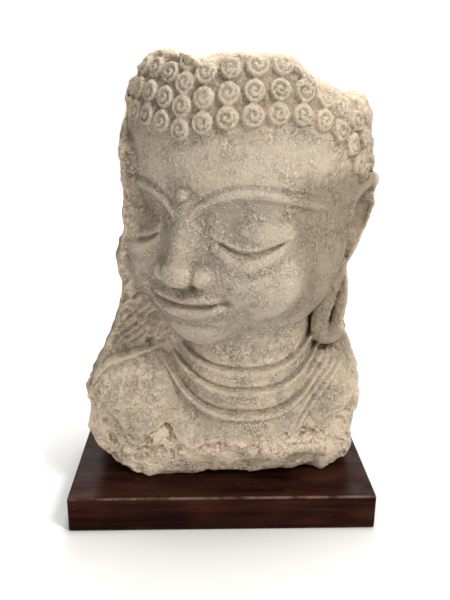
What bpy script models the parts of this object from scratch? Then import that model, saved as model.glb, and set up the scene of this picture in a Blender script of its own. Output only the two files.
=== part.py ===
"""A fragment of a stone Buddha, head and upper chest, on a wooden plinth.

The stone is one carved piece. Its figure is laid out in fingers, the old sculptor's module: 25 fingers
make the height of the stone, and 12.5 of them make the face from hairline to chin. Its surface is the
zero level of a distance field, negative inside the stone. The functions below build that field up as a
carver would: big rounded masses first, then the features, then the breaks.

Metres, +Z up, the chest faces -Y. The origin is the middle of the plinth's underside.
"""

import functools
import math

import bmesh
import bpy
import numpy as np

# Driving sizes, in metres
PLINTH_WIDTH = 0.400
PLINTH_DEPTH = 0.250
PLINTH_HEIGHT = 0.048
PLINTH_EDGE = 0.0025
STONE_HEIGHT = 0.545
SEAT_GAP = 0.0003  # between the stone's underside and the plinth
CELL = 0.003  # spacing of the points at which the stone's field is sampled
STONE_FACETS = 9300  # triangles left on the stone
FINGER = STONE_HEIGHT / 25

# Widths of the rounding where one mass runs into another, in fingers
SOFT, ROUND, FIRM, CRISP = 1.3, 0.6, 0.3, 0.15

# The head's place on the stone: below the chin, on the head's own axis, then its turn in degrees
HEAD_PLACE = (0.85, 1.35, 8.6)
HEAD_YAW = -32.0  # towards the proper right shoulder
HEAD_BOW = 3.0
HEAD_ROLL = 1.0
HEAD_BREADTH, EAR_BREADTH = 1.2, 1.13

# Masses of the head as (centre, radii), in the head's fingers: +Z up the face, the nose towards -Y.
# What is off the middle is given for the proper left half and made on both.
CRANIUM = ((0, 2.3, 11.0), (6.25, 8.0, 9.6))
JAW = ((0, -0.3, 5.3), (5.75, 5.3, 5.9))
CHIN = ((0, -3.9, 1.5), (1.6, 1.5, 1.5))
CHEEK = ((2.75, -3.55, 4.7), (2.0, 1.75, 2.1))
MOUTH_MOUND = ((0, -4.45, 3.05), (1.9, 1.25, 1.45))
EYE_HOLLOW = ((2.9, -5.75, 7.75), (2.35, 1.15, 1.35))
EYEBALL = ((2.95, -3.2, 7.2), (1.85, 1.5, 1.42))
EYE_TURN = 23.0
NOSE_TIP = ((0, -6.3, 4.95), (0.8, 0.85, 0.75))
NOSE_WING = ((0.95, -5.65, 4.85), (0.55, 0.8, 0.58))
NOSTRIL = ((0.5, -5.9, 4.15), (0.25, 0.42, 0.35))
NOSE_TURN = 13.0
FACE_FRONT = (-2.2, -0.8)  # the features fade out from the first depth to the second
NOSE_ROOT = ((0, -4.85, 8.4), (0, -5.25, 5.2), 0.8, 1.15)  # ends and end radii
NOSE_BRIDGE = ((0, -5.2, 8.5), (0, -6.35, 5.1), 0.48, 0.62)

# Features drawn over the front of the face, in fingers
BROW_ROOT, BROW_SPAN, BROW_HEIGHT, BROW_RISE = 0.2, 6.2, 7.9, 1.55
BROW_WIDTH, BROW_RELIEF = 0.28, 0.2
EYE_INNER, EYE_LENGTH, EYE_HEIGHT = 1.4, 3.3, 7.0
UPPER_LID_DROP, LOWER_LID_DROP, LID_RELIEF, SLIT_DEPTH = 0.62, 1.02, 0.12, 0.12
MOUTH_HALF, MOUTH_HEIGHT, SMILE = 2.05, 3.05, 0.34
UPPER_LIP, LOWER_LIP, LIP_RELIEF = 0.78, 0.9, 0.33
LIP_GROOVE_HEIGHT, LIP_GROOVE_REACH = 3.9, 0.3  # the dip between the upper lip and the nose
MARK_HEIGHT, MARK_RADIUS, MARK_RELIEF = 9.25, 0.36, 0.24

# The proper left ear, as points along its strands with a radius for each
EAR_BACKING = ((5.8, 3.3, 8.4), (5.0, 2.6, 0.0), 1.2, 1.0)
EAR_HOLLOW = ((6.75, 1.9, 7.7), (0.75, 0.75, 1.5))
EAR_TURN = -30.0
TRAGUS = ((5.65, 0.9, 5.6), (0.45, 0.4, 0.7))
JAW_GAP = ((5.35, 0.3, 3.6), (4.45, 0.3, 0.8), 0.35, 0.4)
EAR_RIM = (
    (6.0, 1.3, 7.5, 0.30),
    (6.15, 1.4, 8.4, 0.32),
    (6.55, 1.9, 9.2, 0.34),
    (6.95, 2.6, 9.6, 0.36),
    (7.15, 3.0, 9.0, 0.36),
    (7.1, 3.0, 8.2, 0.36),
    (6.85, 2.7, 6.8, 0.36),
    (6.55, 2.3, 5.3, 0.38),
    (6.35, 2.0, 4.2, 0.42),
)
EAR_FOLD = ((6.0, 1.5, 8.2, 0.2), (5.95, 1.6, 7.0, 0.26), (6.15, 1.9, 6.0, 0.3), (6.3, 2.0, 4.6, 0.34))
EAR_LOBE = (
    (5.85, 1.3, 4.6, 0.36),
    (5.4, 1.0, 2.8, 0.42),
    (5.05, 0.8, 1.2, 0.46),
    (5.05, 0.85, 0.0, 0.48),
    (5.5, 1.2, -0.2, 0.48),
    (5.85, 1.6, 0.7, 0.54),
    (6.05, 1.8, 2.2, 0.52),
    (6.3, 2.05, 4.2, 0.44),
)

# The first row's curls, as (arc along the scalp, height), from mid-forehead down the temple and over the ear
HAIRLINE = (
    (0.0, 12.7),
    (0.9, 12.95),
    (2.1, 13.25),
    (3.5, 13.4),
    (5.0, 13.5),
    (6.6, 13.4),
    (8.2, 12.9),
    (9.4, 12.0),
    (10.1, 10.9),
    (10.7, 9.9),
    (11.6, 10.3),
    (12.8, 10.5),
    (14.2, 10.3),
    (16.0, 9.6),
)
SCALP_AXIS = 1.0  # Y of the upright axis that the arcs turn about
SCALP_REACH = 6.6  # radius at which an arc is as long as it says
CURL_RADIUS, CURL_HEIGHT, CURL_DISH = 0.6, 0.34, 0.09
CURL_SPACING = 1.3
CURL_CROWDING = 1.04  # closer than this to another, a curl is left out
ROW_SPACING = 1.16
ROWS = 7

# Neck and chest, in the stone's fingers from the middle of its foot
NECK_AXIS = (1.4, 0.9)
NECK_REACH = 3.9  # from the axis to the front, above the folds
NECK_FOLDS = ((6.5, 0.35), (5.3, 0.35), (3.95, 0.4))  # height, and how far the neck steps out there
NECK_TOP = 13.0
COLLAR_RELIEF = 0.14
NECK_BREADTH, NECK_SAG = 1.1, 2.0  # how oval the neck is, and how far the folds hang in the middle
CHEST = ((0.4, 3.6, 1.0), (12.0, 8.1, 6.3))
LEFT_SHOULDER = ((6.6, 1.6, 4.6), (4.0, 4.4, 3.4))
RIGHT_SHOULDER = ((-5.8, 2.4, 4.2), (6.0, 5.4, 5.0))
LEDGE_HEIGHT, LEDGE_SLOPE = 9.15, 0.27  # top of the proper right shoulder, falling outwards
LEDGE_END, LEDGE_DROP = -6.5, 0.5  # from where it curves down, and how fast
LEDGE_RIM = 0.2
ROBE_FOLD = ((6.3, 7.4), (5.3, 6.3), (4.4, 5.05), (3.5, 3.65), (3.05, 2.6))  # (x, z) down from the shoulder
ROBE_FOLDS = 4
ROBE_FOLD_STEP = (0.34, -0.17)
ROBE_FOLD_WIDTH, ROBE_FOLD_RELIEF = 0.12, 0.26

# The block that the figure was broken from, in the stone's fingers
BLOCK_BACK = 4.6
BLOCK_FRONT = -1.2  # beside the proper right cheek
BLOCK_STEP_BACK = 3.4  # further back beside the ear and the hair
BLOCK_STEP_X, BLOCK_STEP_Z = (-2, 5), (19.5, 22)  # where it steps back, across and up
FOOT_EDGE, FOOT_SLOPE = -3.25, 0.42  # the foot's front edge, and the undercut below the chest
SIDE_ROUGHNESS, BACK_ROUGHNESS, BLOCK_ROUGHNESS = (0.25, 2.2), (0.35, 3.4), (0.3, 1.9)  # height and cell
SIDE_SEED, BACK_SEED, BLOCK_SEED = 3, 7, 11
# (x, z) of the broken outline, seen from the front
OUTLINE = (
    (-4.6, 0.0),
    (-6.6, 0.5),
    (-7.8, 1.4),
    (-8.3, 2.8),
    (-8.05, 4.1),
    (-8.5, 5.2),
    (-7.7, 6.7),
    (-6.9, 8.4),
    (-6.2, 10.0),
    (-6.0, 11.9),
    (-6.3, 13.3),
    (-5.9, 15.2),
    (-6.0, 20.2),
    (-5.6, 22.8),
    (-4.9, 24.2),
    (-3.6, 25.0),
    (-2.6, 24.9),
    (-1.4, 24.3),
    (0.2, 24.7),
    (3.4, 24.75),
    (4.4, 24.1),
    (6.0, 23.2),
    (7.2, 22.7),
    (8.2, 22.8),
    (8.95, 21.9),
    (9.05, 16.6),
    (8.2, 14.2),
    (7.6, 13.0),
    (7.7, 11.4),
    (7.5, 9.4),
    (8.45, 7.8),
    (8.4, 6.0),
    (8.4, 3.2),
    (8.45, 1.3),
    (7.9, 0.4),
    (6.2, 0.0),
)
FLAKE_LEVEL, FLAKE_DEPTH = 2.7, 0.3  # where the chest's skin has flaked off, and how deep
FLAKE_RISE, FLAKE_SPREAD = (-5.0, 5.4), (0.35, 0.28)  # where its edge starts to rise, and how fast
TOP_WEAR = 0.9  # extra rounding of the broken edge on the top's proper left
WORN_X, WORN_Z = (2.5, 5), (19, 21.5)  # where that starts
FIELD_BOX = ((-10.2, -9.5, -1.0), (10.6, 6.5, 26.5))  # the box that is sampled


def clear_scene():
    for obj in list(bpy.data.objects):
        bpy.data.objects.remove(obj, do_unlink=True)


def material(name, colour, roughness):
    made = bpy.data.materials.new(name)
    made.use_nodes = True
    shader = made.node_tree.nodes["Principled BSDF"]
    shader.inputs["Base Color"].default_value = (*colour, 1.0)
    shader.inputs["Roughness"].default_value = roughness
    shader.inputs["Metallic"].default_value = 0.0
    return made


# Field arithmetic: a field is an array of distances, one for each point


def vector(*values):
    return np.array(values, float)


def joined(a, b, blend):
    """Union with a fillet about as wide as blend."""
    h = np.clip(0.5 + 0.5 * (b - a) / blend, 0, 1)
    return b + (a - b) * h - blend * h * (1 - h)


def kept_in(a, b, blend):
    """Intersection with a worn edge about as wide as blend."""
    return -joined(-a, -b, blend)


def cut_by(a, tool, blend):
    return kept_in(a, -tool, blend)


def step(x, low, high):
    """Smooth rise from 0 at low to 1 at high."""
    t = np.clip((x - low) / (high - low), 0, 1)
    return t * t * (3 - 2 * t)


def hump(x, width):
    return np.exp(-((x / width) ** 2))


def ellipsoid(q, centre, radii, turn=0.0):
    """turn is about Z, in degrees."""
    d = q - vector(*centre)
    if turn:
        c, s = math.cos(math.radians(turn)), math.sin(math.radians(turn))
        d = np.stack([d[:, 0] * c + d[:, 1] * s, d[:, 1] * c - d[:, 0] * s, d[:, 2]], 1)
    scaled = np.sqrt(((d / vector(*radii)) ** 2).sum(1))
    slope = np.sqrt(((d / vector(*radii) ** 2) ** 2).sum(1)) + 1e-9
    return scaled * (scaled - 1) / slope


def tapered_rod(q, start, end, start_radius, end_radius):
    a, b = vector(*start), vector(*end)
    along = np.clip((q - a) @ (b - a) / ((b - a) @ (b - a)), 0, 1)
    nearest = a + along[:, None] * (b - a)
    return np.sqrt(((q - nearest) ** 2).sum(1)) - (start_radius + (end_radius - start_radius) * along)


def smooth_curve(points, count):
    """Catmull-Rom curve through the points, as count rows."""
    pts = np.array(points, float)
    ends = np.vstack([2 * pts[0] - pts[1], pts, 2 * pts[-1] - pts[-2]])
    u = np.linspace(0, len(pts) - 1, count)
    i = np.minimum(u.astype(int), len(pts) - 2)
    t = (u - i)[:, None]
    a, b, c, d = (ends[i + k] for k in range(4))
    return 0.5 * (2 * b + (c - a) * t + (2 * a - 5 * b + 4 * c - d) * t**2 + (3 * b - a - 3 * c + d) * t**3)


def strand(q, rows, steps_per_point=3):
    """A smooth tube through rows of (x, y, z, radius)."""
    line = smooth_curve(rows, steps_per_point * len(rows))
    made = np.full(len(q), 1e3)
    for start, end in zip(line[:-1], line[1:]):
        made = np.minimum(made, tapered_rod(q, start[:3], end[:3], start[3], end[3]))
    return made


def distance_to_line(x, z, line):
    near = np.full(len(x), 1e3)
    for a, b in zip(line[:-1], line[1:]):
        e = b - a
        along = np.clip(((x - a[0]) * e[0] + (z - a[1]) * e[1]) / (e @ e), 0, 1)
        near = np.minimum(near, np.hypot(x - a[0] - along * e[0], z - a[1] - along * e[1]))
    return near


def noise(q, height, cell, seed):
    """Smooth noise up to height, from one random value for each corner of a lattice."""
    base = np.floor(q / cell).astype(np.int64)
    t = q / cell - base
    t = t * t * (3 - 2 * t)
    total = np.zeros(len(q))
    for corner in range(8):
        offset = np.array([corner & 1, corner >> 1 & 1, corner >> 2 & 1])
        n = base + offset
        mixed = (n[:, 0] * 73856093) ^ (n[:, 1] * 19349663) ^ (n[:, 2] * 83492791) ^ (seed * 2654435761)
        mixed = (mixed ^ (mixed >> 13)) * 1274126177 & 0xFFFFFFFF
        mixed = (mixed ^ (mixed >> 16)) & 0xFFFF
        total += np.where(offset, t, 1 - t).prod(1) * (mixed / 32767.5 - 1)
    return height * total


# The head


def head_turn():
    """Rotation matrix from head to stone."""
    a, b, c = (math.radians(v) for v in (HEAD_YAW, HEAD_BOW, HEAD_ROLL))
    yaw = np.array([[math.cos(a), -math.sin(a), 0], [math.sin(a), math.cos(a), 0], [0, 0, 1]])
    bow = np.array([[1, 0, 0], [0, math.cos(b), -math.sin(b)], [0, math.sin(b), math.cos(b)]])
    roll = np.array([[math.cos(c), 0, math.sin(c)], [0, 1, 0], [-math.sin(c), 0, math.cos(c)]])
    return yaw @ roll @ bow


def skull(q):
    q = q / vector(HEAD_BREADTH, 1, 1)
    return joined(joined(ellipsoid(q, *CRANIUM), ellipsoid(q, *JAW), SOFT), ellipsoid(q, *CHIN), SOFT)


def face_masses(f, h):
    f = joined(f, ellipsoid(h, *CHEEK), SOFT)
    f = joined(f, ellipsoid(h, *MOUTH_MOUND), SOFT)
    f = cut_by(f, ellipsoid(h, *EYE_HOLLOW, EYE_TURN), ROUND)
    f = joined(f, ellipsoid(h, *EYEBALL, EYE_TURN), CRISP)
    f = joined(f, tapered_rod(h, *NOSE_ROOT), ROUND)
    lobes = joined(tapered_rod(h, *NOSE_BRIDGE), ellipsoid(h, *NOSE_TIP), FIRM)
    lobes = joined(lobes, ellipsoid(h, *NOSE_WING, NOSE_TURN), CRISP)
    f = joined(f, lobes, FIRM)
    return cut_by(f, ellipsoid(h, *NOSTRIL, NOSE_TURN), CRISP)


def brows(x, z):
    """An arched ridge from the nose's root out to the temple."""
    crest = BROW_HEIGHT + BROW_RISE * np.sin(np.pi * np.clip((x - BROW_ROOT) / BROW_SPAN, 0, 1) ** 0.85)
    within = step(x, BROW_ROOT, 0.8) * (1 - step(x, 0.8 * BROW_SPAN, BROW_SPAN))
    return BROW_RELIEF * within * (hump(z - crest, BROW_WIDTH) - 0.3 * hump(z - crest - 0.4, 0.12))


def eyelids(x, z):
    """Both lids stand off the ball, with the slit of the half-closed eye sunk between them."""
    t = np.clip((x - EYE_INNER) / EYE_LENGTH, 0, 1)
    droop = np.sin(np.pi * t)
    corner = EYE_HEIGHT + 0.12 * t
    upper = corner - UPPER_LID_DROP * droop
    lower = corner - LOWER_LID_DROP * droop
    within = step(x, EYE_INNER - 0.2, EYE_INNER + 0.2) * (1 - step(x, EYE_LENGTH + 1.1, EYE_LENGTH + 1.6))
    relief = LID_RELIEF * step(z, upper - 0.08, upper + 0.08) * (1 - step(z, upper + 0.3, upper + 1.3))
    relief += LID_RELIEF * (1 - step(z, lower - 0.1, lower + 0.06)) * step(z, lower - 1.0, lower - 0.25)
    relief -= SLIT_DEPTH * hump(z - (upper + lower) / 2, 0.13) * step(upper - lower, 0.05, 0.2)
    return relief * within


def lips(x, z):
    u = np.clip(x / MOUTH_HALF, 0, 1)
    middle = MOUTH_HEIGHT + SMILE * u**2
    full = 0.35 + 0.65 * np.sqrt(1 - u**2)
    up = (z - middle) / (UPPER_LIP * full - 0.14 * hump(x, 0.35))
    down = (middle - z) / (LOWER_LIP * full)
    relief = LIP_RELIEF * (0.9 * hump(up - 0.5, 0.42) + 1.1 * hump(down - 0.5, 0.42) - 0.6 * hump(z - middle, 0.13))
    relief *= 1 - step(x, MOUTH_HALF - 0.5, MOUTH_HALF + 0.15)
    corner = 0.25 * hump(x - MOUTH_HALF, 0.3) * hump(z - MOUTH_HEIGHT - SMILE, 0.25)
    lip_groove = 0.12 * hump(x, 0.28) * hump(z - LIP_GROOVE_HEIGHT, LIP_GROOVE_REACH)
    chin_crease = 0.16 * hump(z - 1.9 + 0.1 * x**2, 0.28) * hump(x, 1.2)
    return relief - corner - lip_groove - chin_crease


def forehead_mark(x, z):
    return MARK_RELIEF * np.sqrt(np.clip(1 - (np.hypot(x, z - MARK_HEIGHT) / MARK_RADIUS) ** 2, 0, 1))


def add_ear(f, q):
    """Rim, hollow, inner fold and a long pierced lobe, on the proper left only."""
    near = np.nonzero((np.abs(q - vector(6, 2, 4.6)) < vector(3, 3.2, 6.6)).all(1))[0]
    if not len(near):
        return f
    ear, e = f[near], q[near]
    ear = joined(ear, tapered_rod(e, *EAR_BACKING), ROUND)
    ear = cut_by(ear, ellipsoid(e, *EAR_HOLLOW, EAR_TURN), CRISP)
    ear = cut_by(ear, tapered_rod(e, *JAW_GAP), FIRM)
    ear = joined(ear, strand(e, EAR_RIM), CRISP)
    ear = joined(ear, strand(e, EAR_FOLD), FIRM)
    ear = joined(ear, ellipsoid(e, *TRAGUS), FIRM)
    ear = joined(ear, strand(e, EAR_LOBE), CRISP)
    f[near] = ear
    return f


# The hair


def scalp_point(arc, height):
    """Where the scalp is, out from its axis at this arc and height."""
    angle = arc / SCALP_REACH
    out = vector(math.sin(angle), -math.cos(angle), 0)
    reach = np.linspace(2, 9, 351)
    points = vector(0, SCALP_AXIS, height) + reach[:, None] * out
    inside = np.nonzero(skull(points) < 0)[0]
    return points[inside.max()] if len(inside) else None


def row_of_curls(row, side):
    """Where the row's curls are on one half of the scalp, at even distances from its middle."""
    line = smooth_curve(HAIRLINE, 120)
    run = np.gradient(line, axis=0)
    run /= np.linalg.norm(run, axis=1)[:, None]
    line = line + row * ROW_SPACING * np.stack([-run[:, 1], run[:, 0]], 1)
    line[0, 0] = 0.0
    found = [scalp_point(side * arc, height) for arc, height in line if arc >= 0]
    points = np.array([point for point in found if point is not None])
    if len(points) < 2:
        return []
    lengths = np.concatenate([[0], np.cumsum(np.linalg.norm(np.diff(points, axis=0), axis=1))])
    at = np.arange(0 if side > 0 else CURL_SPACING, lengths[-1], CURL_SPACING)
    return [np.array([np.interp(s, lengths, points[:, i]) for i in range(3)]) for s in at]


def outward(point):
    """Unit normal of the skull."""
    offsets = 0.05 * np.eye(3)
    slope = skull(point + offsets) - skull(point - offsets)
    return slope / np.linalg.norm(slope)


@functools.lru_cache(maxsize=None)
def curls():
    """(centre, outward direction) of every curl."""
    made = []
    for row in range(ROWS):
        for side in (1, -1):
            for centre in row_of_curls(row, side):
                if all(np.linalg.norm(centre - other) > CURL_CROWDING for other, _ in made):
                    made.append((centre, outward(centre)))
    return made


def add_curls(f, q):
    """Each curl is a low round boss with a dished top."""
    scalp = np.nonzero((np.abs(f) < 2 * CURL_RADIUS) & (q[:, 2] > 8.5))[0]
    points, values = q[scalp], f[scalp]
    for centre, out in curls():
        near = np.nonzero((np.abs(points - centre) < 1.6 * CURL_RADIUS).all(1))[0]
        d = points[near] - centre
        high = d @ out
        r = np.sqrt(np.maximum((d**2).sum(1) - high**2, 0))
        boss = ((r / CURL_RADIUS) ** 4 + np.abs(high / CURL_HEIGHT) ** 4) ** 0.25
        boss = 0.6 * (boss - 1) * CURL_HEIGHT + CURL_DISH * hump(r, 0.45 * CURL_RADIUS)
        values[near] = joined(values[near], boss, CRISP / 2)
    f[scalp] = values
    return f


def head(p):
    q = (p - vector(*HEAD_PLACE)) @ head_turn()
    s = q / vector(HEAD_BREADTH, 1, 1)
    h = np.stack([np.abs(s[:, 0]), s[:, 1], s[:, 2]], 1)
    f = face_masses(skull(q), h)
    x, z = h[:, 0], h[:, 2]
    on_front = 1 - step(q[:, 1], *FACE_FRONT)
    f = f - on_front * (eyelids(x, z) + brows(x, z) + lips(x, z) + forehead_mark(x, z))
    return add_curls(add_ear(f, q / vector(EAR_BREADTH, 1, 1)), q)


# The neck, the chest and the block


def neck(p):
    """A column that widens downwards in overhanging folds."""
    x, y = p[:, 0] - NECK_AXIS[0], p[:, 1] - NECK_AXIS[1]
    level = p[:, 2] + 0.12 * y - NECK_SAG * np.abs(x / (NECK_BREADTH * NECK_REACH)) ** 3
    reach = np.full(len(p), NECK_REACH)
    for height, out in NECK_FOLDS:
        reach += out * (1 - step(level, height - 0.14, height + 0.08))
        reach += 0.05 * hump(level - height + 0.2, 0.15) - 0.1 * hump(level - height - 0.1, 0.07)
    reach += COLLAR_RELIEF * hump(level - NECK_FOLDS[-1][0] + 0.28, 0.13)
    return np.maximum(np.hypot(x / NECK_BREADTH, y) - reach, p[:, 2] - NECK_TOP)


def chest(p):
    ledge = p[:, 2] - LEDGE_HEIGHT - LEDGE_SLOPE * p[:, 0]
    ledge = ledge + LEDGE_DROP * np.clip(LEDGE_END - p[:, 0], 0, None) ** 2
    right = kept_in(ellipsoid(p, *RIGHT_SHOULDER) - LEDGE_RIM * hump(ledge + 0.2, 0.16), ledge, CRISP)
    return joined(joined(ellipsoid(p, *CHEST), ellipsoid(p, *LEFT_SHOULDER), SOFT), right, SOFT)


def robe_folds(p):
    """Relief of the cloth's folds, which fan from the shoulder down to the chest."""
    relief = np.zeros(len(p))
    front = np.nonzero((p[:, 1] < 1) & (np.abs(p[:, 2] - 5.2) < 3.8) & (p[:, 0] > 1.5))[0]
    x, z = p[front, 0], p[front, 2]
    for k in range(ROBE_FOLDS):
        line = smooth_curve(np.array(ROBE_FOLD) + k * vector(*ROBE_FOLD_STEP), 12)
        relief[front] += ROBE_FOLD_RELIEF * hump(distance_to_line(x, z, line), ROBE_FOLD_WIDTH)
    return relief


def outline_distance(x, z):
    """Distance to the broken outline, negative inside it."""
    corners = np.array(OUTLINE + OUTLINE[:1])
    inside = np.zeros(len(x), bool)
    for a, b in zip(corners[:-1], corners[1:]):
        if a[1] != b[1]:
            crosses = (a[1] > z) != (b[1] > z)
            inside ^= crosses & (x < a[0] + (z - a[1]) * (b[0] - a[0]) / (b[1] - a[1]))
    far = distance_to_line(x, z, corners)
    return np.where(inside, -far, far)


def breaks(p):
    """The broken sides, top, back and foot."""
    rough = noise(p, *SIDE_ROUGHNESS, SIDE_SEED)
    back = p[:, 1] - BLOCK_BACK + noise(p, *BACK_ROUGHNESS, BACK_SEED)
    foot = -(p[:, 1] - FOOT_EDGE) - FOOT_SLOPE * p[:, 2]
    sides = outline_distance(p[:, 0], p[:, 2]) + rough
    return kept_in(kept_in(sides, back, ROUND), foot + rough, ROUND)


def block_front(p):
    """Depth of the rough face of the block that is left beside and behind the head."""
    behind = np.maximum(step(p[:, 0], *BLOCK_STEP_X), step(p[:, 2], *BLOCK_STEP_Z))
    return BLOCK_FRONT + BLOCK_STEP_BACK * behind + noise(p, *BLOCK_ROUGHNESS, BLOCK_SEED)


def flaking(p):
    """How deep the chest's skin has flaked off below a ragged edge that rises towards both shoulders."""
    x, z = p[:, 0], p[:, 2]
    level = FLAKE_LEVEL + FLAKE_SPREAD[0] * np.clip(FLAKE_RISE[0] - x, 0, None) ** 2
    level = level + FLAKE_SPREAD[1] * np.clip(x - FLAKE_RISE[1], 0, None) ** 2
    ragged = noise(p, 0.9, 1.7, 41) + noise(p, 0.45, 0.85, 42)
    lost = 1 - step(z - level - ragged, -0.15, 0.15)
    return FLAKE_DEPTH * lost * (1 - step(z, 7.5, 8.5)) * (1 - step(p[:, 1], 0.5, 2))


def stone_field(p):
    """Distance from the stone's surface, in fingers, at points in the stone's fingers."""
    body = joined(neck(p), chest(p) - robe_folds(p) + flaking(p), CRISP)
    f = joined(head(p), body, ROUND)
    f = joined(f, block_front(p) - p[:, 1], FIRM)
    wear = CRISP + TOP_WEAR * step(p[:, 2], *WORN_Z) * step(p[:, 0], *WORN_X)
    return np.maximum(kept_in(f, breaks(p), wear), -p[:, 2])


# From the field to a mesh


def sample_field(low, high, cell):
    """The field on a grid, worked out from coarse to fine, at each step only near the surface."""
    spacing = 8
    counts = np.ceil((high - low) / cell / spacing).astype(int) + 1
    axes = [low[i] + cell * spacing * np.arange(counts[i]) for i in range(3)]
    grid = np.stack(np.meshgrid(*axes, indexing="ij"), -1)
    values = stone_field(grid.reshape(-1, 3)).reshape(counts)
    while spacing > 1:
        near = np.abs(values) < 1.5 * cell * spacing
        spacing //= 2
        for axis in range(3):
            at = np.arange(2 * values.shape[axis] - 1)
            values = np.take(values, at // 2, axis)
            near = np.take(near, at // 2, axis) | np.take(near, (at + 1) // 2, axis)
        chosen = np.nonzero(near)
        values[chosen] = stone_field(low + cell * spacing * np.stack(chosen, 1))
    return values


def fill_touching_corners(values):
    """Fills a grid point wherever the stone would touch itself along no more than an edge."""
    for _ in range(20):
        filled = 0
        for u, v in ((0, 1), (0, 2), (1, 2)):
            inside = values < 0
            corners = []
            for du, dv in ((0, 0), (1, 0), (1, 1), (0, 1)):
                part_of = [slice(None)] * 3
                part_of[u] = slice(du, values.shape[u] - 1 + du)
                part_of[v] = slice(dv, values.shape[v] - 1 + dv)
                corners.append(inside[tuple(part_of)])
            a, b, c, d = corners
            for offset, found in ((1, a & c & ~b & ~d), (0, b & d & ~a & ~c)):
                at = np.nonzero(found)
                filled += len(at[0])
                at[u][:] += offset
                values[at] = -1e-3
        if not filled:
            break


def cells_of(values):
    """(cells, points): the cells that the surface crosses, and where in each it is on average."""
    inside = values < 0
    size = [n - 1 for n in values.shape]
    corners = [(i, j, k) for i in (0, 1) for j in (0, 1) for k in (0, 1)]
    count = sum(inside[i : i + size[0], j : j + size[1], k : k + size[2]].astype(int) for i, j, k in corners)
    cells = np.stack(np.nonzero((count > 0) & (count < 8)), 1)
    total, hits = np.zeros((len(cells), 3)), np.zeros(len(cells))
    for start in corners:
        for axis in range(3):
            if start[axis]:
                continue
            first = cells + start
            second = first + np.eye(3, dtype=int)[axis]
            va, vb = values[tuple(first.T)], values[tuple(second.T)]
            crossed = (va < 0) != (vb < 0)
            t = np.where(crossed, va, 0) / np.where(crossed, va - vb, 1)
            place = start + t[:, None] * np.eye(3)[axis]
            total[crossed] += place[crossed]
            hits += crossed
    return cells, cells + total / hits[:, None]


def surface_nets(values):
    """Quads around each grid edge where the field changes sign, in grid units."""
    inside = values < 0
    cells, points = cells_of(values)
    number = np.full(values.shape, -1)
    number[tuple(cells.T)] = np.arange(len(cells))
    faces = []
    for axis in range(3):
        u, v = (axis + 1) % 3, (axis + 2) % 3
        changes = np.diff(inside.astype(int), axis=axis)
        for sign in (-1, 1):
            at = np.stack(np.nonzero(changes == sign), 1)
            ring = []
            for du, dv in ((0, 0), (-1, 0), (-1, -1), (0, -1)):
                cell = at.copy()
                cell[:, u] += du
                cell[:, v] += dv
                ring.append(number[tuple(cell.T)])
            faces.append(np.stack(ring[::-sign], 1))
    return points, np.concatenate(faces)


def mesh_from(name, points, faces):
    mesh = bpy.data.meshes.new(name)
    mesh.vertices.add(len(points))
    mesh.vertices.foreach_set("co", points.astype(np.float32).ravel())
    mesh.loops.add(faces.size)
    mesh.loops.foreach_set("vertex_index", faces.astype(np.int32).ravel())
    mesh.polygons.add(len(faces))
    mesh.polygons.foreach_set("loop_start", np.arange(0, faces.size, 4, dtype=np.int32))
    mesh.update(calc_edges=True)
    return mesh


def stone(finish):
    cell = CELL / FINGER
    low, high = (vector(*corner) for corner in FIELD_BOX)
    values = sample_field(low, high, cell)
    fill_touching_corners(values)
    points, faces = surface_nets(values)
    points = low + cell * points
    on_foot = points[:, 2] < 0.3 * cell
    points[on_foot, 2] = 0
    obj = bpy.data.objects.new("stone_bust", mesh_from("stone_bust", points * FINGER, faces))
    bpy.context.scene.collection.objects.link(obj)
    obj.location.z = PLINTH_HEIGHT + SEAT_GAP
    obj.modifiers.new("Facets", "DECIMATE").ratio = STONE_FACETS / (2 * len(faces))
    obj.data.materials.append(finish)


def plinth(finish):
    mesh = bpy.data.meshes.new("wooden_plinth")
    bm = bmesh.new()
    bmesh.ops.create_cube(bm, size=1)
    bmesh.ops.scale(bm, vec=(PLINTH_WIDTH, PLINTH_DEPTH, PLINTH_HEIGHT), verts=bm.verts)
    bm.to_mesh(mesh)
    bm.free()
    obj = bpy.data.objects.new("wooden_plinth", mesh)
    bpy.context.scene.collection.objects.link(obj)
    obj.location.z = PLINTH_HEIGHT / 2
    edge = obj.modifiers.new("Edge", "BEVEL")
    edge.width = PLINTH_EDGE
    edge.segments = 2
    mesh.materials.append(finish)


def main():
    clear_scene()
    stone(material("stone", (0.44, 0.38, 0.29), 0.9))
    plinth(material("dark_wood", (0.045, 0.016, 0.012), 0.4))


if __name__ == "__main__":
    main()
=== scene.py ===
"""The stone Buddha fragment on its plinth, dressed for the photograph.

The stone's surface is the zero level of a distance field, as in the CAD part, worked out on a finer grid and
with the finer carving, flaked breaks, tool marks and pits that the photograph shows.
"""

import functools
import math

import bmesh
import bpy
import numpy as np
from mathutils import Matrix, Vector

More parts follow.
